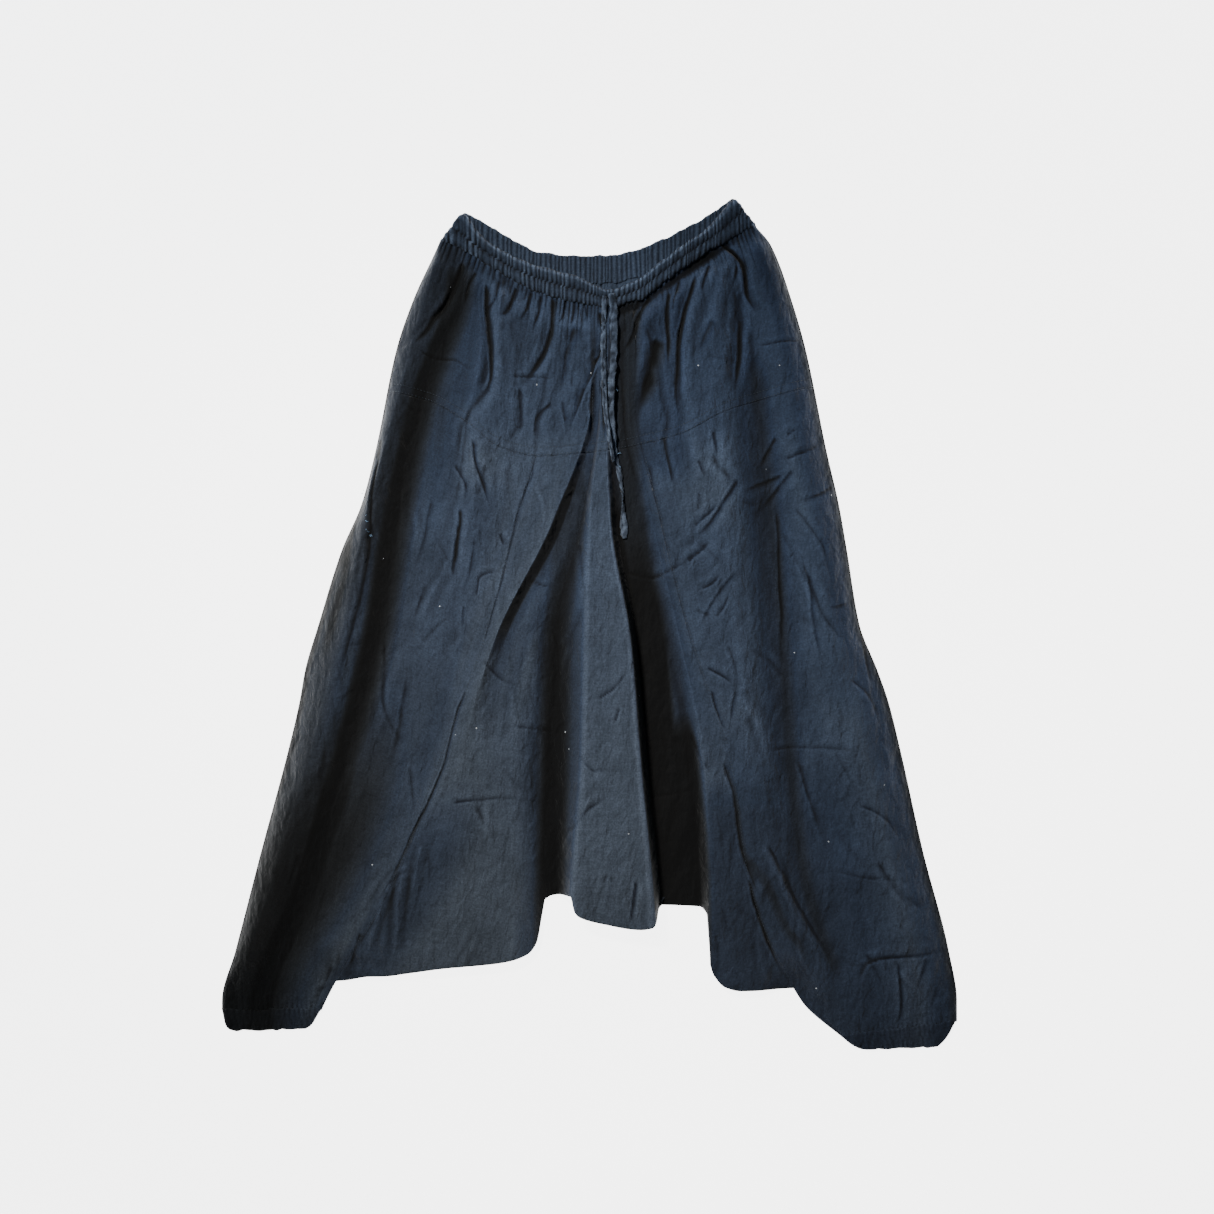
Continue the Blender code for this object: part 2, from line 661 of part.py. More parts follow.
def build_front(parts):
    """The front gusset, then the two front legs, whose rows meet its rows."""
    shares = np.linspace(0, 1, GUSSET_ROWS + 1)
    gusset = even_plan(CENTRE_GUIDES, CENTRE_COLUMNS, shares, yoke_seam, hem)
    shares = leg_shares(gusset[1][0], LEFT_GUIDES, LEFT_COLUMNS[-1], left_cuff_seam)
    left = even_plan(LEFT_GUIDES, LEFT_COLUMNS, shares, yoke_seam, left_cuff_seam)
    shares = leg_shares(gusset[1][-1], RIGHT_GUIDES, RIGHT_COLUMNS[0], right_cuff_seam)
    right = even_plan(RIGHT_GUIDES, RIGHT_COLUMNS, shares, yoke_seam, right_cuff_seam)
    plans = (("front_gusset", gusset), ("front_leg_left", left), ("front_leg_right", right))
    return [cloth_panel(name, plan, front_surface, parts) for name, plan in plans]


def build_back(parts):
    """The back gusset, whose lifted rows lie under the front's, and the two flat back legs."""
    upper, lower = panel_ends(CENTRE_GUIDES, CENTRE_COLUMNS, yoke_seam, hem)
    shares = np.linspace(0, 1, GUSSET_ROWS + 1)[-(LIFTED_ROWS + 1):]
    lifted = upper[:, None] + (lower - upper)[:, None] * shares
    start = panel_ends(CENTRE_GUIDES, CENTRE_COLUMNS, back_yoke_seam, hem)[0]
    flat = np.linspace(start, lifted[:, 0], FLAT_ROWS + 1, axis=1)[:, :-1]
    gusset = plan_points(CENTRE_GUIDES, CENTRE_COLUMNS, np.concatenate([flat, lifted], axis=1))
    guides = [left_edge, CENTRE_GUIDES[0]]
    shares = leg_shares(gusset[1][0], guides, 1, left_cuff_seam)
    left = even_plan(guides, BACK_LEG_COLUMNS, shares, back_yoke_seam, left_cuff_seam)
    guides = [CENTRE_GUIDES[-1], right_edge]
    shares = leg_shares(gusset[1][-1], guides, 0, right_cuff_seam)
    right = even_plan(guides, BACK_LEG_COLUMNS, shares, back_yoke_seam, right_cuff_seam)
    plans = (("back_gusset", gusset), ("back_leg_left", left), ("back_leg_right", right))
    return [cloth_panel(name, plan, back_surface, parts) for name, plan in plans]


def resting_height(trees, x, y, radius):
    """The height of a round cord's middle where it rests on the cloth at a place."""
    best = 0.0
    for dx in np.linspace(-0.9, 0.9, 7) * radius:
        for dy in (-radius, 0.0, radius):
            for tree in trees:
                hit = tree.ray_cast(Vector((x + dx, y + dy, 0.2)), Vector((0, 0, -1)))[0]
                if hit is not None:
                    best = max(best, hit.z + math.sqrt(radius**2 - dx**2))
    return best + CORD_CLEAR


def route_points(route, spacing):
    """Evenly spaced plan points on a smooth curve through a cord's route."""
    route = np.array(route, float) * MM
    lengths = np.linalg.norm(np.diff(route, axis=0), axis=1)
    at = np.concatenate([[0], np.cumsum(lengths)])
    even = np.linspace(0, at[-1], round(at[-1] / spacing) + 1)
    return np.column_stack([curve(at, route[:, 0], even), curve(at, route[:, 1], even)])


def smoothed_rest(heights, passes):
    """Heights eased over their neighbours and never lower than the cord rests."""
    eased = heights.copy()
    for _ in range(passes):
        middle = (eased[:-2] + 2 * eased[1:-1] + eased[2:]) / 4
        eased[1:-1] = np.maximum(heights[1:-1], middle)
    return eased


def lifted_over(points, heights, other, other_heights):
    """Heights of one cord raised to pass over another one where they cross."""
    apart = CORD_WIDTH + CORD_CLEAR
    for i, place in enumerate(points):
        away_from = np.linalg.norm(other - place, axis=1)
        over = np.sqrt(np.maximum(apart**2 - away_from**2, 0.0))
        crossing = np.where(away_from < apart, other_heights + over, 0.0)
        heights[i] = max(heights[i], crossing.max())
    return heights


def cord(name, points, parts):
    """A tube along a cord's resting points."""
    data = bpy.data.curves.new(name, "CURVE")
    data.dimensions = "3D"
    data.bevel_depth = CORD_WIDTH / 2
    data.bevel_resolution = 2
    data.use_fill_caps = True
    spline = data.splines.new("POLY")
    spline.points.add(len(points) - 1)
    for target, point in zip(spline.points, points):
        target.co = (*point, 1.0)
    made = bpy.data.objects.new(name, data)
    data.materials.append(material(name + "_cotton", TIE_COTTON))
    parts.objects.link(made)
    return made


def build_drawstring(cloth, parts):
    """The two free ends of the tie, with the short one beside and over the long one."""
    graph = bpy.context.evaluated_depsgraph_get()
    trees = [BVHTree.FromObject(made, graph) for made in cloth]
    radius = CORD_WIDTH / 2
    rested = []
    for route in (LONG_END_ROUTE, SHORT_END_ROUTE):
        plan = route_points(route, 2 * CORD_WIDTH)
        rested.append((plan, np.array([resting_height(trees, x, y, radius) for x, y in plan])))
    (long_plan, long_rest), (short_plan, short_rest) = rested
    long_rest = smoothed_rest(long_rest, 6)
    short_rest = smoothed_rest(lifted_over(short_plan, short_rest, long_plan, long_rest), 3)
    cord("drawstring_long_end", np.column_stack([long_plan, long_rest]), parts)
    cord("drawstring_short_end", np.column_stack([short_plan, short_rest]), parts)


def main():
    for old in list(bpy.data.objects):
        bpy.data.objects.remove(old)
    parts = bpy.data.collections.new("harem_pants")
    bpy.context.scene.collection.children.link(parts)
    band = build_waistband(parts)
    yokes = build_yokes(parts)
    front = build_front(parts)
    build_back(parts)
    build_cuff("cuff_left", LEFT_CUFF_EDGE, LEFT_CUFF_END, parts)
    build_cuff("cuff_right", RIGHT_CUFF_EDGE, RIGHT_CUFF_END, parts)
    bpy.context.view_layer.update()
    build_drawstring([band, *yokes, *front], parts)


main()
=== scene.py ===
# %% [markdown]
# # Harem pants of washed dark cotton, laid flat
#
# The garment lies on its back, seen from straight above. It is one closed tube of cloth: a
# gathered waistband, a gathered hip yoke, two legs that end in gathered cuffs, and a wide gusset
# between the legs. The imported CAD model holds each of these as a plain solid. This lesson puts a
# thin sheet of finished cloth in the place of each solid, on the same tables of sizes, and then
# adds the creases, the sewing, the weave and the light.

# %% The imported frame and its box
import math
from collections import namedtuple

import bpy
import numpy as np
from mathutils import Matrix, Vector


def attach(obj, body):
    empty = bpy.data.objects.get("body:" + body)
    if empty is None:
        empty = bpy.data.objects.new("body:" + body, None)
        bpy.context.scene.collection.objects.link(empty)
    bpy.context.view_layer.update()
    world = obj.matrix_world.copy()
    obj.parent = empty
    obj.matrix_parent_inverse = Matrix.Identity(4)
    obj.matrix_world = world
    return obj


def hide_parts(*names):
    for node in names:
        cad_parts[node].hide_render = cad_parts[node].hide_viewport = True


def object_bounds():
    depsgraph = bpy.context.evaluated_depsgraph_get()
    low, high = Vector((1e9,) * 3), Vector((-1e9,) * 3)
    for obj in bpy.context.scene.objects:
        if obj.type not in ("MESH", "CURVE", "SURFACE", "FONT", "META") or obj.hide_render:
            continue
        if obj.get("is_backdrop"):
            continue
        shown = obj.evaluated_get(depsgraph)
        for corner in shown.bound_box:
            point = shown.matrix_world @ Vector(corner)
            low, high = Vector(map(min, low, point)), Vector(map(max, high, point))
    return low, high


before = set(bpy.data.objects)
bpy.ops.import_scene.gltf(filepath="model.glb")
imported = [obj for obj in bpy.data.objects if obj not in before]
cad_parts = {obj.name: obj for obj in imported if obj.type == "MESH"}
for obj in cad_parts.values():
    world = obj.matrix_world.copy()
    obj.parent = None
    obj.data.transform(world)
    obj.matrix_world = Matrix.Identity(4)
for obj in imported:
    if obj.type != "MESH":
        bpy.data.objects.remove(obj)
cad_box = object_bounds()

MM = 0.001
print("CAD box in mm:", [[round(float(v) / MM, 1) for v in corner] for corner in cad_box])

# %% [markdown]
# ## The camera
#
# The picture was taken from straight above, and 1214 pixels across it are 1360 mm of the floor.
# A camera that looks straight down needs no turning, because a Blender camera looks along its
# own minus Z. Its height follows from the lens, so it is worked out and not guessed.

# %% The camera straight above
VIEW_WIDTH = 1359.7 * MM
VIEW_MIDDLE = 19.6 * MM
LENS_MM = 50.0
SENSOR_MM = 36.0

camera_data = bpy.data.cameras.new("camera")
camera_data.lens = LENS_MM
camera_data.sensor_width = SENSOR_MM
camera = bpy.data.objects.new("camera", camera_data)
camera.location = (VIEW_MIDDLE, VIEW_MIDDLE, VIEW_WIDTH * LENS_MM / SENSOR_MM)
bpy.context.scene.collection.objects.link(camera)
bpy.context.scene.camera = camera
print("camera height in m:", round(camera.location.z, 3))

# %% [markdown]
# ## Curves through short tables
#
# A sewing pattern is a list of a few measured points joined by smooth curves. The same idea
# drives every form here: a short table of millimetres, and one function that draws a smooth
# curve through its points. The slopes are chosen so that the curve never swings past a point.

# %% Smooth curves
def hermite(ends, values, slopes, at):
    """The cubic between two points with a slope at each."""
    width = ends[1] - ends[0]
    t = (at - ends[0]) / width
    return (
        values[0] * (1 + 2 * t) * (1 - t) ** 2
        + values[1] * t * t * (3 - 2 * t)
        + width * slopes[0] * t * (1 - t) ** 2
        - width * slopes[1] * t * t * (1 - t)
    )


def soft_slopes(steps):
    """Slopes between neighbouring steps that keep a curve from overshooting its points."""
    before, after = steps[:-1], steps[1:]
    turning = before * after <= 0
    return np.where(turning, 0.0, 2 * before * after / np.where(turning, 1.0, before + after))


def curve(keys, values, at):
    """A smooth curve through its points, read at any positions."""
    order = np.argsort(keys)
    keys = np.asarray(keys, float)[order]
    values = np.asarray(values, float)[order]
    steps = np.diff(values) / np.diff(keys)
    slopes = np.concatenate([steps[:1], soft_slopes(steps), steps[-1:]])
    at = np.clip(at, keys[0], keys[-1])
    i = np.clip(np.searchsorted(keys, at, side="right") - 1, 0, len(keys) - 2)
    return hermite(
        (keys[i], keys[i + 1]), (values[i], values[i + 1]), (slopes[i], slopes[i + 1]), at
    )


def line_of(rows, key, value):
    """The function that reads one column of a table as a curve over another column."""
    keys, values = ([getattr(row, column) for row in rows] for column in (key, value))
    return lambda at: curve(keys, values, np.asarray(at, float))


def ease(t):
    """A smooth step from 0 to 1."""
    t = np.clip(t, 0.0, 1.0)
    return t * t * (3 - 2 * t)


print("highest value of a curve through 0, 1 and 1:", curve((0, 1, 2), (0, 1, 1), [0.5, 1.5]).max())

# %% [markdown]
# ## The outline
#
# The laid garment's outline is given by its two sides, by the gathered waist, which dips in the
# middle, and by the lower edge of the crotch, which steps where the large folds end in it. These
# are the CAD model's own tables, so the cloth ends exactly where its solids do.

# %% Tables of the outline
Section = namedtuple("Section", "height left right")
SECTIONS = (
    Section(446, -160, 185), Section(424, -169, 203), Section(363, -197, 226),
    Section(307, -216, 242), Section(195, -239, 265), Section(134, -255, 279),
    Section(83, -277, 288), Section(0, -303, 302), Section(-51, -318, 322),
    Section(-85, -324, 334), Section(-141, -337, 348), Section(-253, -367, 373),
    Section(-365, -396, 402), Section(-421, -411, 411), Section(-457, -411, 411),
)

Waist = namedtuple("Waist", "across seam top back_seam back_top")
WAIST = (
    Waist(-166, 428, 466, 428, 466), Waist(-143, 418, 460, 424, 461),
    Waist(-118, 404, 432, 415, 450), Waist(-87, 384, 412, 399, 431),
    Waist(-52, 369, 399, 385, 416), Waist(-13, 358, 389, 380, 413),
    Waist(22, 354, 374, 381, 413), Waist(54, 361, 386, 387, 420),
    Waist(82, 380, 407, 398, 431), Waist(106, 397, 425, 409, 443),
    Waist(132, 415, 443, 421, 457), Waist(163, 433, 476, 436, 477),
    Waist(185, 446, 481, 446, 481),
)
BAND_TOP_ENDS = (-143, 163)
BAND_SEAM_ENDS = (-166, 185)

YokeSeam = namedtuple("YokeSeam", "across front back")
YOKE_SEAM = (
    YokeSeam(-230, 260, 260), YokeSeam(-179, 249, 248), YokeSeam(-134, 223, 238),
    YokeSeam(-100, 197, 233), YokeSeam(-58, 187, 229), YokeSeam(17, 193, 227),
    YokeSeam(57, 200, 231), YokeSeam(101, 211, 237), YokeSeam(152, 237, 245),
    YokeSeam(202, 253, 254), YokeSeam(256, 266, 266),
)

Hem = namedtuple("Hem", "across height")
HEM = (
    Hem(-300, -400), Hem(-273, -398), Hem(-246, -393), Hem(-226, -392), Hem(-206, -389),
    Hem(-167, -383), Hem(-116, -378), Hem(-94, -375), Hem(-69, -367), Hem(-59, -355),
    Hem(-55, -338), Hem(-51, -309), Hem(-45, -303), Hem(-20, -300),
    Hem(-17, -315), Hem(-11, -322), Hem(12, -329), Hem(57, -336), Hem(70, -334),
    Hem(75, -326), Hem(77, -313), Hem(124, -315), Hem(130, -320), Hem(133, -337),
    Hem(134, -376), Hem(139, -391), Hem(152, -404), Hem(169, -408), Hem(300, -404),
)

LowEdge = namedtuple("LowEdge", "name start end fade")
LEFT_CUFF_EDGE = LowEdge("left_cuff", (-411, -429), (-300, -428.5), 60)
RIGHT_CUFF_EDGE = LowEdge("right_cuff", (281, -459), (410, -441.5), 60)
LEFT_INNER_LEG = LowEdge("left_inner_leg", (-279, -396), (-300, -428), 45)
RIGHT_INNER_LEG = LowEdge("right_inner_leg", (224, -408), (281, -459), 45)
LOW_EDGES = (LEFT_CUFF_EDGE, RIGHT_CUFF_EDGE, LEFT_INNER_LEG, RIGHT_INNER_LEG)
LEFT_CUFF_END = ((-406, -454), (-313, -452.5))
RIGHT_CUFF_END = ((299, -474.8), (394, -472.8))


def straight(edge):
    """The function that gives an edge's height at a position across."""
    (x0, y0), (x1, y1) = edge.start, edge.end
    return lambda x: y0 + (y1 - y0) * (np.asarray(x, float) - x0) / (x1 - x0)


left_edge = line_of(SECTIONS, "height", "left")
right_edge = line_of(SECTIONS, "height", "right")
waist_seam = line_of(WAIST, "across", "seam")
back_waist_seam = line_of(WAIST, "across", "back_seam")
yoke_seam = line_of(YOKE_SEAM, "across", "front")
back_yoke_seam = line_of(YOKE_SEAM, "across", "back")
hem = line_of(HEM, "across", "height")
left_cuff_seam = straight(LEFT_CUFF_EDGE)
right_cuff_seam = straight(RIGHT_CUFF_EDGE)
print("laid length in mm:", WAIST[-1].top - RIGHT_CUFF_END[0][1])

# %% [markdown]
# ## The large folds
#
# Soft cloth that is laid down keeps a few long folds, which run from the waist to the hem. Each
# has its own line down the garment and its own height at nine stations, again from the CAD
# model. Between the lines the cloth is a smooth curve, and a crisp of 1 gives a pressed edge.

# %% Tables of the folds and of the gathers under the waistband
STATIONS = (440, 386, 251, 117, -17, -152, -286, -421, -465)
Fold = namedtuple("Fold", "name crisp across height")
FOLDS = (
    Fold("left_crest", 0.3, (-157, -176, -212, -247, -275, -311, -352, -391, -392),
         (10, 12, 18, 21, 22, 21, 17, 7, 6)),
    Fold("left_valley", 0.0, (-146, -143, -184, -214, -236, -271, -311, -364, -368),
         (5, 5, 4, 3, 3, 3, 3, 3, 3)),
    Fold("left_slope", 0.0, (-130, -125, -143, -158, -176, -203, -259, -330, -336),
         (10, 10, 12, 11, 10, 10, 8, 6, 5)),
    Fold("left_fold", 0.3, (-112, -109, -126, -129, -143, -178, -231, -305, -320),
         (14, 14, 20, 17, 14, 12, 10, 5, 4)),
    Fold("left_seam", 0.1, (-42, -42, -47, -79, -115, -165, -217, -295, -313),
         (12, 12, 14, 16, 18, 17, 13, 4, 3)),
    Fold("flap_edge", 0.9, (-1, -1, 2, -40, -105, -142, -160, -180, -185),
         (12, 12, 15, 20, 21, 21, 18, 12, 12)),
    Fold("flap_foot", 0.2, (5, 5, 6, -28, -94, -124, -132, -140, -142),
         (10, 10, 9, 8, 12, 20, 18, 14, 14)),
    Fold("gusset_face", 0.0, (8, 8, 8, -16, -68, -85, -87, -90, -91),
         (9, 9, 8, 9, 14, 17, 17, 15, 15)),
    Fold("centre_valley", 0.0, (12, 12, 11, -9, -39, -40, -37, -36, -36),
         (10, 10, 9, 8, 5, 3, 3, 3, 3)),
    Fold("pleat_left", 0.5, (17, 17, 14.5, 1, -3, -6, -17, -22, -24),
         (12, 12, 15, 23, 29, 32, 31, 27, 26)),
    Fold("pleat_right", 0.9, (22, 22, 18.5, 23, 45, 56, 69, 78, 80),
         (13, 13, 17, 25, 31, 34, 33, 29, 28)),
    Fold("recess_foot", 0.3, (29, 29, 26, 32, 53, 66, 79, 88, 90),
         (9, 9, 7, 5, 3, 3, 3, 3, 3)),
    Fold("recess_right", 0.0, (36, 36, 36, 56, 83, 110, 122, 124, 126),
         (9, 9, 7, 5, 3, 3, 3, 3, 3)),
    Fold("right_fold", 0.4, (44, 44, 44, 70, 101, 127, 133, 135, 137),
         (11, 11, 10, 9, 9, 15, 18, 13, 12)),
    Fold("right_seam", 0.1, (52, 52, 50, 78, 112, 155, 176, 237, 287),
         (12, 12, 13, 14, 15, 16, 14, 6, 4)),
    Fold("right_crest", 0.0, (118, 124, 135, 148, 160, 174, 200, 259, 306),
         (15, 15, 20, 22, 21, 19, 16, 9, 6)),
    Fold("right_valley", 0.0, (152, 174, 188, 204, 216, 225, 242, 292, 327),
         (8, 8, 7, 6, 6, 6, 5, 4, 4)),
    Fold("right_outer_crest", 0.0, (178, 200, 225, 249, 269, 301, 331, 362, 374),
         (12, 12, 15, 16, 16, 15, 13, 7, 6)),
)

Gather = namedtuple("Gather", "top middle end height width")
GATHERS = (
    Gather((-143, 420), (-151, 375), (-199, 315), -6, 9),
    Gather((-115, 395), (-111, 300), (-129, 236), -9, 10),
    Gather((-92, 384), (-98, 330), (-91, 290), 6, 15),
    Gather((-83, 382), (-89, 355), (-105, 338), -5, 9),
    Gather((-56, 371), (-62, 350), (-69, 335), -4, 9),
    Gather((-41, 368), (-51, 307), (-78, 260), -7, 9),
    Gather((-76, 262), (-77, 235), (-77, 209), -4, 9),
    Gather((-30, 363), (-32, 343), (-38, 330), -4, 9),
    Gather((-23, 335), (-30, 285), (-41, 236), -5, 12),
    Gather((10, 354), (12, 313), (-4, 284), -7, 9),
    Gather((39, 357), (33, 298), (32, 215), -7, 11),
    Gather((67, 368), (59, 310), (50, 258), 5, 12),
    Gather((88, 384), (85, 335), (81, 296), -4, 9),
    Gather((74, 320), (62, 269), (48, 216), -6, 12),
    Gather((119, 404), (97, 313), (101, 216), -7, 9),
    Gather((142, 420), (145, 400), (145, 380), -4, 9),
    Gather((151, 410), (133, 324), (115, 276), 6, 14),
    Gather((167, 430), (177, 372), (189, 342), -6, 9),
    Gather((167, 380), (165, 313), (153, 252), -6, 11),
)


def fold_line(fold):
    """The function that gives a fold's position across for a height up the garment."""
    return lambda y: curve(STATIONS, fold.across, y)


def fold_lines(first, last):
    """The lines of the folds from one name to another."""
    names = [fold.name for fold in FOLDS]
    return [fold_line(fold) for fold in FOLDS[names.index(first):names.index(last) + 1]]


LEFT_GUIDES = [left_edge, *fold_lines("left_crest", "left_seam")]
CENTRE_GUIDES = fold_lines("left_seam", "right_seam")
RIGHT_GUIDES = [*fold_lines("right_seam", "right_outer_crest"), right_edge]
CENTRE_SEAM = 6
SIDE_STEEPNESS = 1.8
GATHER_FILL = 0.4
GATHER_FADE_TOP = 0.15
GATHER_FADE_END = 0.35


def fold_heights(x, y):
    """How far the large folds lift the front above the back, between their lines."""
    across = np.array([left_edge(y), *(fold_line(fold)(y) for fold in FOLDS), right_edge(y)])
    side = np.zeros_like(y)
    heights = np.array([side, *(curve(STATIONS, fold.height, y) for fold in FOLDS), side])
    steps = np.diff(heights, axis=0) / np.maximum(np.diff(across, axis=0), 1.0)
    soft = soft_slopes(steps)
    crisp = np.array([fold.crisp for fold in FOLDS]).reshape(-1, *[1] * y.ndim)
    arriving = [steps[:1], soft + (steps[:-1] - soft) * crisp, SIDE_STEEPNESS * steps[-1:]]
    leaving = [SIDE_STEEPNESS * steps[:1], soft + (steps[1:] - soft) * crisp, steps[-1:]]
    arriving, leaving = np.concatenate(arriving), np.concatenate(leaving)
    x = np.clip(x, across[0], across[-1])
    i = np.clip((across <= x).sum(axis=0) - 1, 0, len(across) - 2)

    def pick(rows, k):
        return np.take_along_axis(rows, k[None], axis=0)[0]

    start = pick(across, i)
    ends = (start, np.maximum(pick(across, i + 1), start + 1.0))
    values = (pick(heights, i), pick(heights, i + 1))
    return hermite(ends, values, (pick(leaving, i), pick(arriving, i + 1)), x)


def gather_heights(x, y):
    """How far the gathers under the waistband lift or lower the front.

    The solid's furrows are cut with straight walls, and worn cloth half fills them.
    """
    total = np.zeros_like(y)
    for gather in GATHERS:
        (x_top, y_top), (x_middle, y_middle), (x_end, y_end) = gather.top, gather.middle, gather.end
        line = curve((y_end, y_middle, y_top), (x_end, x_middle, x_top), y)
        along = (y - y_end) / (y_top - y_end)
        strength = ease(along / GATHER_FADE_END) * ease((1 - along) / GATHER_FADE_TOP)
        side = np.clip(np.abs(x - line) / gather.width, 0, 1)
        total += gather.height * GATHER_FILL * strength * (0.5 + 0.5 * np.cos(math.pi * side))
    return total


print(len(FOLDS), "folds and", len(GATHERS), "gathers")
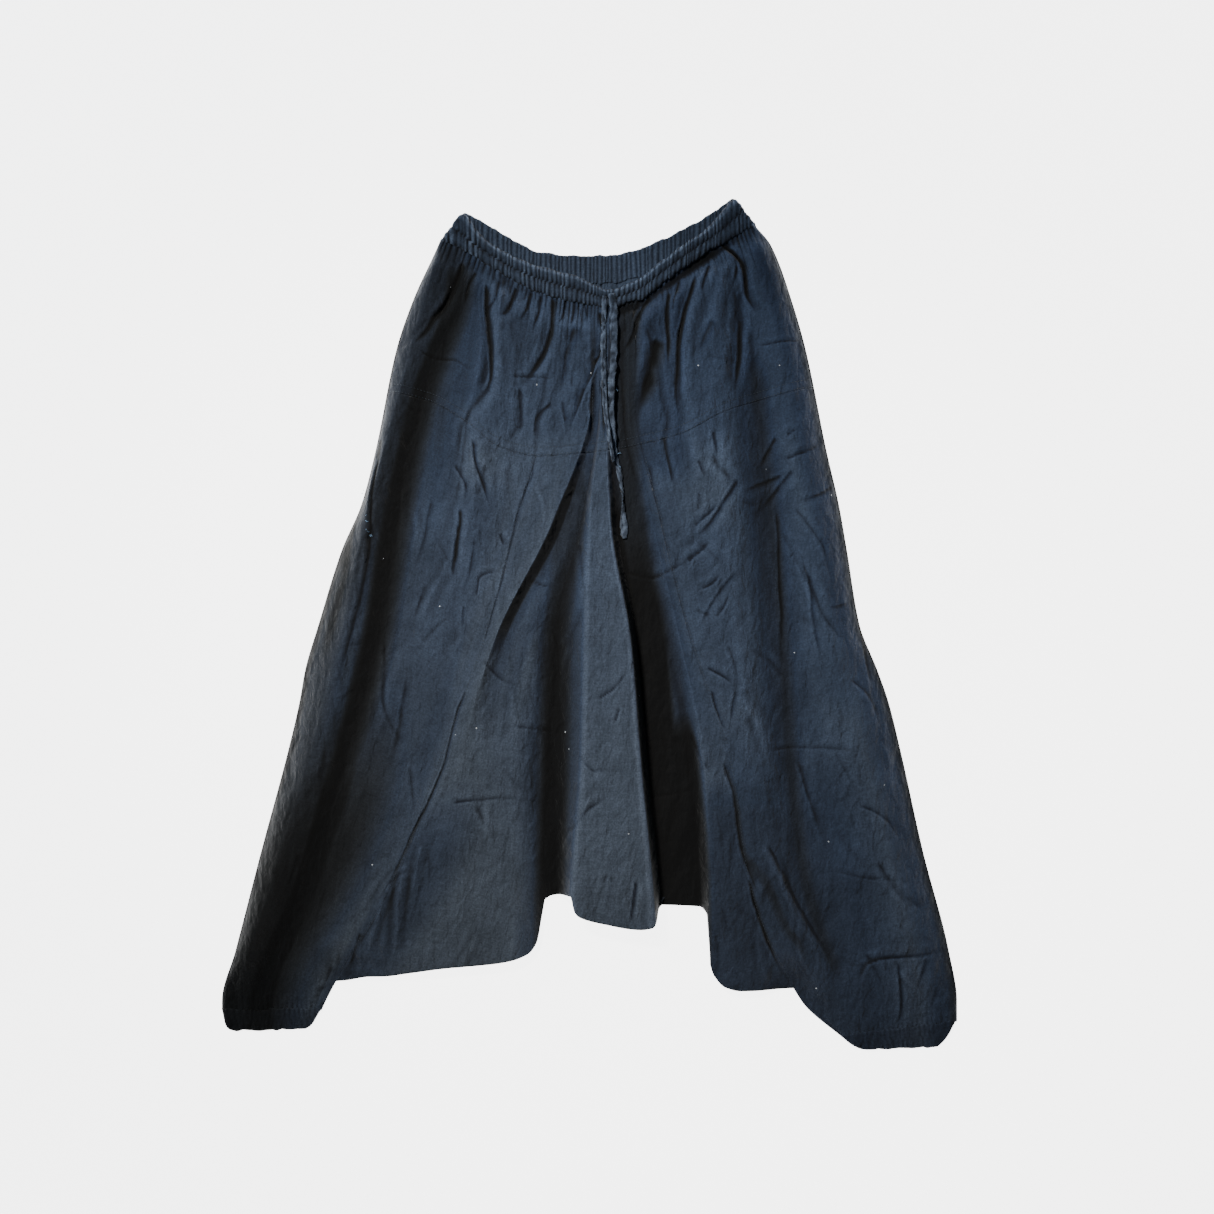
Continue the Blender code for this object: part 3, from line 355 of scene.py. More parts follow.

# %% [markdown]
# ## Creases one by one
#
# Thin washed cotton also keeps sharp creases: short dark furrows where the gathers start, lines
# from storage that cross the legs, and laps where the cloth has fallen over itself. They could
# come from a cloth simulation, but then none would lie where the real one does. Each row here
# draws one crease along its own line. Its height is below zero for a furrow. Left and right give
# how far it spreads to each side of a line that is read downwards, so a lap has one steep side.

# %% Table of the creases
Crease = namedtuple("Crease", "name points height left right")
CREASES = (
    Crease("yoke_left_long", ((-143, 405), (-152, 376), (-174, 340), (-201, 305)), -4.2, 1.4, 5.0),
    Crease("yoke_left_deep", ((-115, 380), (-115, 350), (-111, 306), (-110, 274), (-129, 237)),
           -3.6, 1.1, 4.3),
    Crease("yoke_left_short", ((-82, 376), (-90, 350), (-104, 338)), -3.1, 1, 3.8),
    Crease("yoke_centre_long", ((-42, 366), (-43, 332), (-61, 286), (-78, 260)), -4.2, 1.1, 5.0),
    Crease("yoke_thread", ((-78, 263), (-77, 235), (-76, 209)), -1.3, 0.9, 2.5),
    Crease("yoke_drop", ((-43, 248), (-61, 222), (-60, 201)), -1.7, 0.9, 3.8),
    Crease("yoke_soft", ((-15, 335), (-25, 302), (-31, 268), (-35, 247)), -1.5, 3.1, 9.3),
    Crease("yoke_soft_foot", ((-30, 248), (-27, 217)), -1.1, 1.2, 4.7),
    Crease("yoke_bent", ((11, 350), (14, 322), (11, 298), (-2, 286)), -3.6, 1.6, 3.1),
    Crease("yoke_nick", ((-27, 363), (-32, 340), (-38, 332)), -2.3, 0.9, 3.1),
    Crease("yoke_nick_two", ((-7, 363), (-4, 343), (-10, 334)), -1.4, 1, 3.4),
    Crease("flap_top", ((12, 300), (-8, 252), (-27, 204)), -1.5, 9.0, 1.0),
    Crease("yoke_fan_one", ((-66, 372), (-70, 352), (-80, 336)), -2.6, 1.1, 3.4),
    Crease("yoke_fan_two", ((-55, 368), (-57, 350), (-64, 322)), -2.0, 1, 2.9),
    Crease("yoke_fan_three", ((-100, 384), (-104, 362), (-120, 345)), -2.3, 1.1, 3.4),
    Crease("yoke_fan_four", ((-17, 362), (-19, 344), (-24, 326)), -1.4, 0.9, 3.4),
    Crease("yoke_fan_five", ((-128, 394), (-136, 372), (-140, 352)), -2.1, 1.1, 3.2),
    Crease("right_fan_one", ((56, 366), (50, 350), (46, 336)), -2.1, 1, 3.0),
    Crease("right_fan_two", ((100, 384), (94, 360), (93, 340)), -2.1, 1, 2.9),
    Crease("right_fan_three", ((133, 402), (126, 382), (122, 360)), -2.3, 1.1, 3.4),
    Crease("right_fan_four", ((158, 420), (163, 398), (158, 372)), -2.1, 1, 3.2),
    Crease("gusset_seam_low", ((-137, -70), (-146, -95), (-161, -152), (-200, -240), (-250, -340)),
           -2.2, 0.9, 3.6),
    Crease("shoulder_fold", ((208, 209), (199, 192), (185, 170)), -1.4, 1.1, 4.5),
    Crease("shoulder_fold_two", ((226, 172), (209, 150), (185, 121)), -1.3, 1.1, 4.5),
    Crease("shoulder_fold_three", ((273, 155), (250, 143), (226, 137)), -1.0, 1.0, 4.0),
    Crease("shoulder_fold_four", ((214, 166), (192, 158), (167, 145)), -1.2, 1.1, 4.5),
    Crease("side_fold", ((287, 24), (272, 19), (257, 20)), -0.8, 1.0, 4.0),
    Crease("under_yoke_three", ((136, 214), (139, 200), (142, 185)), -1.4, 0.9, 3.4),
    Crease("under_yoke_four", ((121, 182), (124, 172), (126, 161)), -1.1, 0.9, 3.4),
    Crease("right_valley_line", ((208, 128), (211, 60), (213, 0), (212, -62)), -1.4, 1.1, 5.0),
    Crease("seam_long", ((163, 61), (140, 30), (112, -17)), -1.0, 1.2, 5.0),
    Crease("seam_bow", ((164, 163), (150, 138), (128, 108), (105, 86)), -1.7, 1.3, 4.5),
    Crease("seam_low", ((135, -72), (142, -100), (155, -124)), -1.4, 1.0, 4.2),
    Crease("gusset_level", ((-85, -114), (-50, -117), (-13, -129)), -0.9, 1.0, 3.6),
    Crease("gusset_level_two", ((-118, -40), (-96, -62), (-72, -70)), -0.8, 1.1, 4.2),
    Crease("pleat_nick", ((29, -106), (32, -97), (35, -88)), -1.2, 0.9, 3.2),
    Crease("pleat_fan", ((-8, -150), (8, -162), (28, -160)), -0.7, 1.0, 4.0),
    Crease("leg_left_run", ((-176, 140), (-186, 92), (-200, 44)), -0.9, 1.3, 5.5),
    Crease("leg_left_run_two", ((-128, 96), (-134, 60), (-146, 18)), -0.9, 1.2, 4.8),
    Crease("leg_left_run_three", ((-205, -60), (-214, -120), (-228, -170)), -0.8, 1.4, 5.5),
    Crease("leg_left_slant", ((-150, 178), (-137, 150), (-140, 128)), -1.2, 1.1, 4.2),
    Crease("recess_wrinkle", ((112, -120), (124, -150), (141, -172)), -0.9, 1.1, 4.4),
    Crease("leg_right_run", ((243, 60), (250, 0), (262, -64)), -0.9, 1.4, 5.5),
    Crease("leg_right_run_two", ((232, -150), (246, -200), (266, -252)), -0.8, 1.4, 5.5),
    Crease("leg_right_slant", ((290, -60), (312, -82), (326, -120)), -0.8, 1.2, 4.6),
    Crease("leg_right_slant_two", ((300, -200), (326, -214), (352, -246)), -0.8, 1.2, 4.6),
    Crease("gusset_seam_high", ((-62, 187), (-64, 166), (-76, 138), (-84, 107), (-91, 77), (-109, 5),
                                (-126, -51), (-137, -81)), -1.1, 0.8, 3.0),
    Crease("placket_left", ((4, 270), (1, 236), (3, 196)), -2.0, 1.0, 4.5),
    Crease("placket_right", ((14, 275), (15, 236), (19, 196)), -2.6, 1.4, 4.0),
    Crease("right_first", ((68, 368), (54, 342), (48, 323), (34, 296)), -2.9, 1.2, 4.3),
    Crease("right_second", ((88, 371), (86, 342), (87, 319), (87, 281)), -3.1, 1.2, 3.8),
    Crease("right_long", ((118, 391), (104, 342), (97, 296), (96, 255), (100, 219)), -4.2, 1.1, 4.5),
    Crease("right_bent", ((147, 425), (170, 399), (176, 366), (190, 343)), -4.2, 1.5, 4.3),
    Crease("right_tail", ((167, 342), (166, 302), (161, 265), (151, 251)), -2.7, 1.4, 4.3),
    Crease("right_cloud", ((137, 339), (127, 316), (116, 294)), -1.4, 3.1, 9.3),
    Crease("right_cloud_two", ((74, 319), (66, 279), (52, 223)), -2.4, 4.3, 14),
    Crease("under_yoke", ((81, 209), (88, 179), (95, 146)), -1.4, 0.9, 3.1),
    Crease("under_yoke_two", ((67, 178), (72, 139)), -1, 0.9, 3.9),
    Crease("storage_left", ((-190, 306), (-172, 296), (-152, 294), (-130, 284), (-120, 286)),
           -0.9, 0.9, 2.5),
    Crease("storage_middle", ((-86, 275), (-61, 275), (-33, 273)), -0.9, 0.9, 2.5),
    Crease("storage_right", ((189, 311), (219, 315), (253, 320)), -0.8, 0.9, 2.5),
    Crease("gusset_fold_one", ((-69, 49), (-50, 43), (-33, 42)), -0.7, 0.9, 2.5),
    Crease("gusset_fold_two", ((41, 58), (67, 52), (98, 64), (129, 89)), -0.9, 1, 3.4),
    Crease("gusset_storage", ((-153, -197), (-123, -195), (-89, -193), (-59, -204)), -1, 0.9, 3.4),
    Crease("recess_storage", ((67, -193), (96, -189), (123, -184)), -1, 1, 3.1),
    Crease("leg_storage_right", ((199, -141), (236, -137), (275, -138), (318, -143)), -0.6, 1, 3.4),
    Crease("leg_storage_low", ((274, -276), (320, -283), (375, -288)), -0.6, 1, 3.4),
    Crease("left_leg_dark", ((-143, 129), (-148, 89), (-154, 45)), -3.1, 1, 3.8),
    Crease("left_leg_step", ((-129, 205), (-126, 180), (-116, 150), (-107, 122)), -2.2, 1.0, 4.5),
    Crease("left_leg_tick", ((-100, 101), (-95, 86)), -1.3, 0.9, 3.1),
    Crease("left_leg_hook", ((-125, 31), (-122, 51), (-111, 57), (-97, 59)), -1.2, 0.9, 3.1),
    Crease("left_leg_tail", ((-139, 21), (-144, -12)), -1.2, 0.9, 3.4),
    Crease("left_leg_faint", ((-184, 45), (-198, 2)), -0.8, 1, 3.7),
    Crease("valley_thread", ((-41, -5), (-34, -36), (-41, -99), (-46, -130)), -1, 1, 2.8),
    Crease("pleat_crease", ((-22, -231), (-3, -206), (12, -195), (26, -186)), -1.1, 1, 3.1),
    Crease("pleat_crease_two", ((10, -83), (29, -68), (48, -45)), -1, 0.9, 3.1),
    Crease("pleat_split", ((51, -282), (48, -305), (44, -332)), -2.1, 1, 3.4),
    Crease("pleat_split_two", ((25, -275), (17, -314)), -0.6, 1.2, 4.7),
    Crease("seam_wrinkle_one", ((117, 108), (136, 126), (154, 146)), -1.3, 1.1, 4),
    Crease("seam_wrinkle_two", ((110, 69), (124, 81), (137, 96)), -1.4, 1.1, 4),
    Crease("seam_wrinkle_three", ((142, 7), (151, 25), (157, 45)), -1.1, 1.1, 4),
    Crease("seam_wrinkle_four", ((120, 146), (118, 120)), -1, 1, 3.4),
    Crease("seam_wrinkle_five", ((130, -49), (148, -58), (162, -69)), -1.1, 1.1, 4),
    Crease("seam_wrinkle_six", ((161, -73), (157, -98), (154, -123)), -1, 1.1, 4),
    Crease("seam_wrinkle_seven", ((124, 39), (137, 46), (148, 61)), -1, 1.1, 4),
    Crease("leg_right_line", ((148, -150), (161, -193), (167, -244), (182, -286), (199, -322)),
           -1.9, 1.4, 6.2),
    Crease("leg_right_line_two", ((176, -282), (192, -338), (211, -382), (219, -400)), -2.1, 1.2, 3.8),
    Crease("leg_right_lap", ((192, -244), (211, -277), (230, -315), (253, -353), (274, -390)),
           2.9, 8, 1.9),
    Crease("leg_right_lap_two", ((209, -258), (227, -320), (248, -353), (270, -417)), 1.6, 7, 2.6),
    Crease("cuff_right_crease", ((300, -396), (310, -379), (331, -372), (368, -370), (409, -363)),
           -1.3, 1.1, 4.7),
    Crease("cuff_right_run", ((343, -376), (347, -421), (344, -461)), -1.4, 1.1, 4),
    Crease("cuff_right_run_two", ((375, -372), (363, -412)), -1, 1.2, 4.7),
    Crease("cuff_right_run_three", ((387, -404), (379, -437)), -0.7, 1.2, 4.7),
    Crease("side_right_line", ((300, 7), (310, -53), (318, -90)), -1.3, 1, 3.7),
    Crease("shoulder_right", ((218, 183), (239, 192), (263, 202)), -1.2, 1.1, 4),
    Crease("shoulder_right_two", ((220, 210), (232, 218)), -1.0, 1.1, 4),
    Crease("side_left_line", ((-234, 190), (-244, 139), (-246, 106), (-250, 67), (-266, -5),
                              (-284, -68), (-297, -91)), 4.3, 9, 1.3),
    Crease("side_left_top", ((-231, 207), (-238, 173), (-242, 139)), -2.2, 1, 3.1),
    Crease("left_low_ridge", ((-185, -244), (-192, -275), (-197, -309)), 1.8, 3.5, 3.5),
    Crease("left_low_ridge_two", ((-203, -263), (-213, -313), (-217, -382)), 2.4, 3.5, 4),
    Crease("left_low_ridge_three", ((-222, -287), (-237, -331), (-250, -378)), 2.1, 4, 3),
    Crease("left_low_crease", ((-254, -342), (-266, -374), (-274, -393)), -1.1, 1.2, 4.7),
    Crease("leg_left_faint", ((-291, -129), (-304, -197)), -0.6, 1.6, 5.4),
    Crease("leg_left_faint_two", ((-324, -253), (-341, -309)), -0.6, 1.6, 5.4),
)


def soft_noise(x, y, size, seed):
    """Smooth noise between -1 and 1, in bumps of about one size, on a turned lattice."""
    draw = np.random.default_rng(seed)
    lattice = draw.uniform(-1, 1, (89, 97))
    turn = draw.uniform(0.3, 1.2)
    u = (x * math.cos(turn) + y * math.sin(turn)) / size
    v = (y * math.cos(turn) - x * math.sin(turn)) / size
    i, j = np.floor(u).astype(int), np.floor(v).astype(int)
    s, t = ease(u - i), ease(v - j)

    def at(a, b):
        return lattice[a % 89, b % 97]

    lower = at(i, j) * (1 - s) + at(i + 1, j) * s
    upper = at(i, j + 1) * (1 - s) + at(i + 1, j + 1) * s
    return lower * (1 - t) + upper * t


def distances(line):
    """How far along a line each of its points is."""
    return np.concatenate([[0], np.cumsum(np.linalg.norm(np.diff(line, axis=0), axis=1))])


def route_points(route, spacing):
    """Evenly spaced points on a smooth curve through a line's points."""
    route = np.array(route, float)
    at = distances(route)
    even = np.linspace(0, at[-1], max(round(at[-1] / spacing), 2) + 1)
    return np.column_stack([curve(at, route[:, 0], even), curve(at, route[:, 1], even)])


def beside(line, x, y):
    """For points near a line: the share along it, and the distance to its side."""
    start, run = line[:-1], np.diff(line, axis=0)
    offset_x = x[:, None] - start[:, 0]
    offset_y = y[:, None] - start[:, 1]
    length = np.linalg.norm(run, axis=1)
    along = np.clip((offset_x * run[:, 0] + offset_y * run[:, 1]) / length**2, 0, 1)
    away = np.hypot(offset_x - along * run[:, 0], offset_y - along * run[:, 1])
    nearest = away.argmin(axis=1)
    rows = np.arange(len(x))
    cross = run[nearest, 0] * offset_y[rows, nearest] - run[nearest, 1] * offset_x[rows, nearest]
    side = np.where(cross > 0, 1.0, -1.0) * away[rows, nearest]
    return (nearest + along[rows, nearest]) / len(run), side


CREASE_POWER = 1.3
CREASE_REACH = 4.8
CREASE_TIGHTER = 0.82
LIP_SHARE = 0.3
LIP_PLACE = 2.7
LIP_WIDTH = 1.15


def crease_profile(side, crease):
    """A crease across its line: a sharp furrow between two raised lips, or a ridge in a dip."""
    s = np.abs(side) / np.where(side < 0, crease.left, crease.right) / CREASE_TIGHTER
    return np.exp(-s**CREASE_POWER) - LIP_SHARE * np.exp(-((s - LIP_PLACE) / LIP_WIDTH) ** 2)


WRINKLE_WIDTHS = (1.4, 4.2)
WRINKLE_BEND = 0.16
FLARE_POINT = (10, 900)


def scattered(seed, count, lengths, heights, turn_spread):
    """Short soft wrinkles strewn over the front, mostly along its flare."""
    draw = np.random.default_rng(seed)
    rows = []
    for _ in range(count):
        y = draw.uniform(-440, 400)
        x = draw.uniform(float(left_edge(y)) + 12, float(right_edge(y)) - 12)
        turn = math.atan2(x - FLARE_POINT[0], -FLARE_POINT[1]) + draw.normal(0, turn_spread)
        half = draw.uniform(*lengths) / 2
        bend = draw.normal(0, WRINKLE_BEND) * half
        ahead = (math.sin(turn) * half, math.cos(turn) * half)
        points = (
            (x - ahead[0], y - ahead[1]), (x - ahead[1] / half * bend, y + ahead[0] / half * bend),
            (x + ahead[0], y + ahead[1]),
        )
        width = draw.uniform(*WRINKLE_WIDTHS)
        rows.append(Crease("scattered", points, draw.uniform(*heights), width, width * 1.4))
    return rows


WRINKLES = (
    *scattered(61, 130, (35, 130), (-1.3, 1.0), 0.25),
    *scattered(62, 110, (16, 60), (-0.8, 0.7), 0.6),
)
CREASE_SPACING = 5.0
CREASE_SWELL = (0.65, 1.15)
SWELLS = 9
STRAY = 1.1
STRAY_SIZE = 17


def crease_heights(x, y, creases=(*CREASES, *WRINKLES)):
    """The relief of some creases, each uneven along its length and faded at its ends."""
    total = np.zeros_like(x)
    uneven = np.random.default_rng(41)
    for crease in creases:
        line = route_points(crease.points, CREASE_SPACING)
        swell = uneven.uniform(*CREASE_SWELL, SWELLS)
        reach = CREASE_REACH * max(crease.left, crease.right)
        (low_x, low_y), (high_x, high_y) = line.min(axis=0) - reach, line.max(axis=0) + reach
        near = (x > low_x) & (x < high_x) & (y > low_y) & (y < high_y)
        if not near.any():
            continue
        share, side = beside(line, x[near], y[near])
        side += soft_noise(x[near], y[near], STRAY_SIZE, 43) * STRAY
        ends = ease(share / 0.1 + 0.15) * ease((1 - share) / 0.5)
        strength = crease.height * ends * np.interp(share, np.linspace(0, 1, SWELLS), swell)
        total[near] += crease_profile(side, crease) * strength
    return total


print(len(CREASES), "creases drawn by hand and", len(WRINKLES), "wrinkles strewn")

# %% [markdown]
# ## Crinkles, puckers and seams
#
# Between the creases the cloth isn't smooth either. Washing leaves long shallow crinkles that
# run down the legs, the elastic pulls small puckers into the first few centimetres of the yoke
# and of each ankle, and every seam lies in a shallow groove with the cloth drawn up beside it.
# Seeded noise makes all of these the same on each run.

# %% Crinkles and puckers
BAND_PITCH = (2.8, 7.2)
CUFF_PITCH = (4.4, 6.8)
FLARED_WIDTH = 700


def crinkles(x, y):
    """Shallow crinkles of washed cotton, mostly along the garment's flare."""
    left, right = left_edge(y), right_edge(y)
    flow = (x - left) / (right - left) * FLARED_WIDTH
    long = soft_noise(flow, y / 5, 19, 11) * 0.42 + soft_noise(flow, y / 3, 9, 12) * 0.12
    broad = soft_noise(x, y, 46, 13) * 0.9 + soft_noise(x, y, 21, 14) * 0.22
    return long + broad + soft_noise(x, y, 6, 17) * 0.05


def gather_places(start, end, pitch, seed):
    """Uneven places of gathers from one end to the other."""
    steps = np.random.default_rng(seed).uniform(*pitch, int((end - start) / pitch[0]) + 2)
    places = start + np.concatenate([[0], np.cumsum(steps)])
    return places[places < end + pitch[1]]


BAND_PLACES = gather_places(-180, 200, BAND_PITCH, 21)
CUFF_PLACES = gather_places(-420, 420, CUFF_PITCH, 22)
GATHERS_DRAWN = 400


def gather_phase(places, x):
    """The number of the gather at a position across, as a running share."""
    return np.interp(x, places, np.arange(len(places)))


def gather_value(phase, low, high, seed):
    """A value that each gather has for itself, eased from one to the next."""
    values = np.random.default_rng(seed).uniform(low, high, GATHERS_DRAWN)
    i = np.floor(phase).astype(int)
    this, following = values[i % GATHERS_DRAWN], values[(i + 1) % GATHERS_DRAWN]
    return this + (following - this) * ease(phase - i)


def puckered(phase):
    """Round ridges with sharp furrows between them, from 0 to 1."""
    return np.abs(np.sin(math.pi * phase)) ** 0.6


PUCKER_SPREAD = 0.0016
PUCKER_HEIGHT = 3.4
CUFF_PUCKER_HEIGHT = 1.1


def band_puckers(x, y):
    """The yoke's puckers below the waistband, which fan out as they fade."""
    below = np.maximum(waist_seam(x) - y, 0)
    at_band = x - (x - 20) * PUCKER_SPREAD * np.minimum(below, 60)
    phase = gather_phase(BAND_PLACES, at_band)
    reach = gather_value(phase, 6, 30, 23)
    height = gather_value(phase, 0.5, 1.3, 24) * PUCKER_HEIGHT
    return (puckered(phase) - 0.75) * height * np.exp(-below / reach)


def cuff_puckers(x, y):
    """The legs' puckers above the cuffs."""
    total = np.zeros_like(x)
    for seam, side in ((left_cuff_seam, -1), (right_cuff_seam, 1)):
        above = np.maximum(y - seam(x), 0)
        phase = gather_phase(CUFF_PLACES, x)
        reach = gather_value(phase, 4, 16, 25)
        on_side = ease((side * x - 240) / 30)
        total += (puckered(phase) - 0.7) * CUFF_PUCKER_HEIGHT * np.exp(-above / reach) * on_side
    return total


print("gathers across the waistband's front:", int(np.ptp(gather_phase(BAND_PLACES, BAND_SEAM_ENDS))))

# %% Grooves of the seams
TOPSTITCH_RISE = (1.8, 10.0)
TOPSTITCH_DIP = 0.12
SEAM_DIP = 0.14
SEAM_WIDTH = 1.6
DRAWN_UP = 0.35


def groove(distance, depth, width):
    """A shallow round groove across a distance from its line."""
    return -depth * np.exp(-(distance / width) ** 2)


def seam_relief(x, y):
    """Grooves along the seams and rows of stitches, with the cloth drawn up beside them."""
    from_yoke = y - yoke_seam(x)
    total = groove(from_yoke, SEAM_DIP, 1.3)
    for rise in TOPSTITCH_RISE:
        total += groove(from_yoke - rise, TOPSTITCH_DIP, 1.4)
    drawn = soft_noise(x, y * 0, 7, 31) * DRAWN_UP
    total += drawn * np.exp(-((from_yoke - 5) / 9) ** 2)
    below = y < yoke_seam(x)
    for line in (CENTRE_GUIDES[0], CENTRE_GUIDES[-1]):
        from_seam = x - line(y)
        drawn = soft_noise(y, x * 0, 9, 32) * DRAWN_UP * np.exp(-(from_seam / 7) ** 2)
        total += np.where(below, groove(from_seam, SEAM_DIP, SEAM_WIDTH) + drawn, 0)
    from_centre = x - CENTRE_GUIDES[CENTRE_SEAM](y)
    return total + np.where(below, 0, groove(from_centre, SEAM_DIP, SEAM_WIDTH))


print("depth of a seam's groove in mm:", SEAM_DIP)

# %% [markdown]
# ## Levels of the cloth, and distances from its edges
#
# Two layers of cloth lie on each other, so each layer and each wall of a band has its own level
# above the surface. Near a side, a cuff or the crotch's edge the layers have to close on each
# other. A few functions give the distance to those edges, and everything below fades by them.

# %% Levels and distances
CLOTH = 0.7
CAD_WALL = 1.2
CAD_GAP = 0.3
BACK_LEVEL = 0.6
FRONT_LEVEL = BACK_LEVEL + CAD_WALL + CAD_GAP
BAND_BACK_LEVEL = 1.6
BAND_FRONT_LEVEL = 5.1
CUFF_BACK_LEVEL = 1.25
CUFF_FRONT_LEVEL = 4.05
UNDER_BAND_DIP = 6.0


def distance_from(edge, x, y):
    """The distance in plan from a low edge."""
    start, end = np.array(edge.start, float), np.array(edge.end, float)
    run = end - start
    along = np.clip(((x - start[0]) * run[0] + (y - start[1]) * run[1]) / (run @ run), 0, 1)
    return np.hypot(x - start[0] - along * run[0], y - start[1] - along * run[1])


def side_distance(x, y):
    """The distance to the nearest side, inner leg or crotch edge of the tube."""
    sides = np.minimum(x - left_edge(y), right_edge(y) - x)
    for edge in (LEFT_INNER_LEG, RIGHT_INNER_LEG):
        sides = np.minimum(sides, distance_from(edge, x, y))
    return np.maximum(sides, 0)


def under_band(x, y):
    """The furrow right under the band's lifted right half."""
    below = waist_seam(x) - y
    reach = ease((x - 24) / 14) * ease((178 - x) / 40)
    ragged = 0.72 + 0.28 * soft_noise(x, y * 0, 13, 33)
    return -UNDER_BAND_DIP * reach * ragged * np.exp(-((below - 5) / (8 * ragged)) ** 2)


print("middle of the front cloth above the surface in mm:", round(FRONT_LEVEL, 1))

# %% [markdown]
# ## Painted shade in the folds
#
# Cloth that lies tucked in a fold gets little light, and the lamps alone leave it too pale, so painted
# shade darkens it, black-brown at the bottom of a fold. A few strips near the sides and over the
# yoke get painted shade too, where the light falls off. Each row names two lines of the folds,
# with a shift in millimetres from each, and the strip between them is shaded by a share. It runs
# from a top to a bottom height, its two sides are soft over so many millimetres, and it fades in
# from its top. The material reads the result.

# %% Table of the strips of painted shade
ShadeStrip = namedtuple(
    "ShadeStrip", "left left_shift right right_shift top bottom soft_left soft_right share fade", defaults=(60,)
)
# Strips of painted shade: in the folds, along the sides and over the yoke.
SHADE_STRIPS = (
    ShadeStrip("flap_edge", 0.5, "flap_foot", 2, 205, -52, 1.4, 6, 0.85),
    ShadeStrip("pleat_right", 0.8, "recess_right", -12, 175, -210, 1.2, 28, 1.0),
    ShadeStrip("pleat_right", 0.8, "recess_right", 13, -70, -520, 1.2, 14, 1.0),
    ShadeStrip("centre_valley", -13, "centre_valley", 10, 60, -520, 24, 9, 0.95),
    ShadeStrip("centre_valley", 10, "pleat_left", -3, 60, -520, 8, 7, 0.5),
    ShadeStrip("left_valley", -20, "left_valley", 18, 440, -440, 16, 36, 0.97),
    ShadeStrip("left_valley", 0, "left_seam", -20, 190, -300, 20, 40, 0.27),
    ShadeStrip("left_seam", -10, "left_seam", 60, -150, -520, 20, 60, 0.4, 100),
    ShadeStrip("right_seam", -10, "right_edge", 0, 150, -130, 30, 20, 0.2),
    ShadeStrip("left_edge", -40, "left_slope", 2, 90, -700, 10, 80, 0.92, 380),
    ShadeStrip("left_valley", -24, "left_valley", 20, -40, -520, 18, 26, 1.0, 160),
    ShadeStrip("left_edge", 0, "right_edge", 0, 470, 170, 10, 10, 0.24),
    ShadeStrip("left_valley", -10, "left_lap", -1, 420, 205, 30, 3, 0.42),
    ShadeStrip("right_valley", -10, "right_valley", 12, 330, -430, 24, 40, 0.74),
    ShadeStrip("right_fold", 0, "right_valley", 0, -150, -520, 16, 30, 0.45),
    ShadeStrip("left_valley", -34, "left_valley", 20, 440, 190, 40, 20, 0.72),
    ShadeStrip("recess_foot", 3, "recess_foot", 32, 430, 60, 10, 28, 0.82),
    ShadeStrip("recess_foot", 14, "recess_foot", 84, 450, 130, 24, 40, 0.43),
    ShadeStrip("centre_valley", -44, "centre_valley", -8, -290, -520, 20, 14, 0.3),
    ShadeStrip("left_edge", -40, "left_edge", 44, 470, -560, 10, 40, 0.7),
    ShadeStrip("left_edge", -40, "left_edge", 12, 300, -700, 10, 18, 0.88, 200),
    ShadeStrip("right_edge", -12, "right_edge", 40, 470, -700, 18, 10, 0.7, 60),
    ShadeStrip("right_edge", -34, "right_edge", 40, 470, -560, 34, 10, 0.42),
    ShadeStrip("right_seam", -6, "right_edge", -60, -20, -700, 20, 90, 0.42, 220),
)
LEFT_LAP = ((200, -121), (238, -129), (276, -111), (320, -112), (357, -117), (380, -116))
LOWER_FADE = 60


def painted_shade(x, y):
    """The painted shade of the strips: in the large folds, near the sides and over the yoke."""
    lines = {fold.name: fold_line(fold)(y) for fold in FOLDS}
    lines["left_edge"], lines["right_edge"] = left_edge(y), right_edge(y)
    lines["left_lap"] = np.interp(y, *zip(*LEFT_LAP))
    most = np.zeros_like(x)
    for tuck in SHADE_STRIPS:
        from_left = ease(0.5 + (x - lines[tuck.left] - tuck.left_shift) / tuck.soft_left)
        from_right = ease(0.5 + (lines[tuck.right] + tuck.right_shift - x) / tuck.soft_right)
        along = ease((tuck.top - y) / tuck.fade) * ease((y - tuck.bottom) / LOWER_FADE)
        most = np.maximum(most, from_left * from_right * along * tuck.share)
    return most


print(len(SHADE_STRIPS), "tucked strips")

# %% Painted shade by how deep the cloth lies
DEEP_REACHES = (16, 38)
DEEP_FULL = 19.0
DEEP_SHARE = 0.75
SLIT_DEPTH = 2.6
SLIT_START = 0.12
SLIT_MOST = 0.7


def smoothed(values, passes):
    """Values of a grid eased over their neighbours."""
    for _ in range(passes):
        for axis in (0, 1):
            padded = np.pad(values, [(1, 1) if a == axis else (0, 0) for a in (0, 1)], mode="edge")
            low, middle, high = (
                np.take(padded, np.arange(k, k + values.shape[axis]), axis=axis) for k in range(3)
            )
            values = (low + 2 * middle + high) / 4
    return values


def deep(x, y):
    """How deep the front lies, as painted shade: 0 on a crest, up to 1 in a recess, a strip or a slit."""
    here = fold_heights(x, y) + gather_heights(x, y)
    highest = here
    for reach in DEEP_REACHES:
        for angle in np.linspace(0, 2 * math.pi, 8, endpoint=False):
            beside_x, beside_y = x + reach * math.cos(angle), y + reach * math.sin(angle)
            highest = np.maximum(highest, fold_heights(beside_x, beside_y))
    # Painted shade where the cloth lies below the folds around it.
    between = smoothed((highest - here) / DEEP_FULL * ease(side_distance(x, y) / 45), 4)
    # Painted shadow under the band's lifted right half, and the strips of painted shade.
    under = np.maximum(under_band(x, y) / -UNDER_BAND_DIP, painted_shade(x, y))
    # Painted shade in the listed creases.
    slits = np.clip(-crease_heights(x, y, CREASES) / SLIT_DEPTH - SLIT_START, 0, SLIT_MOST)
    return np.clip(np.maximum(between * DEEP_SHARE, under) + slits, 0, 1)


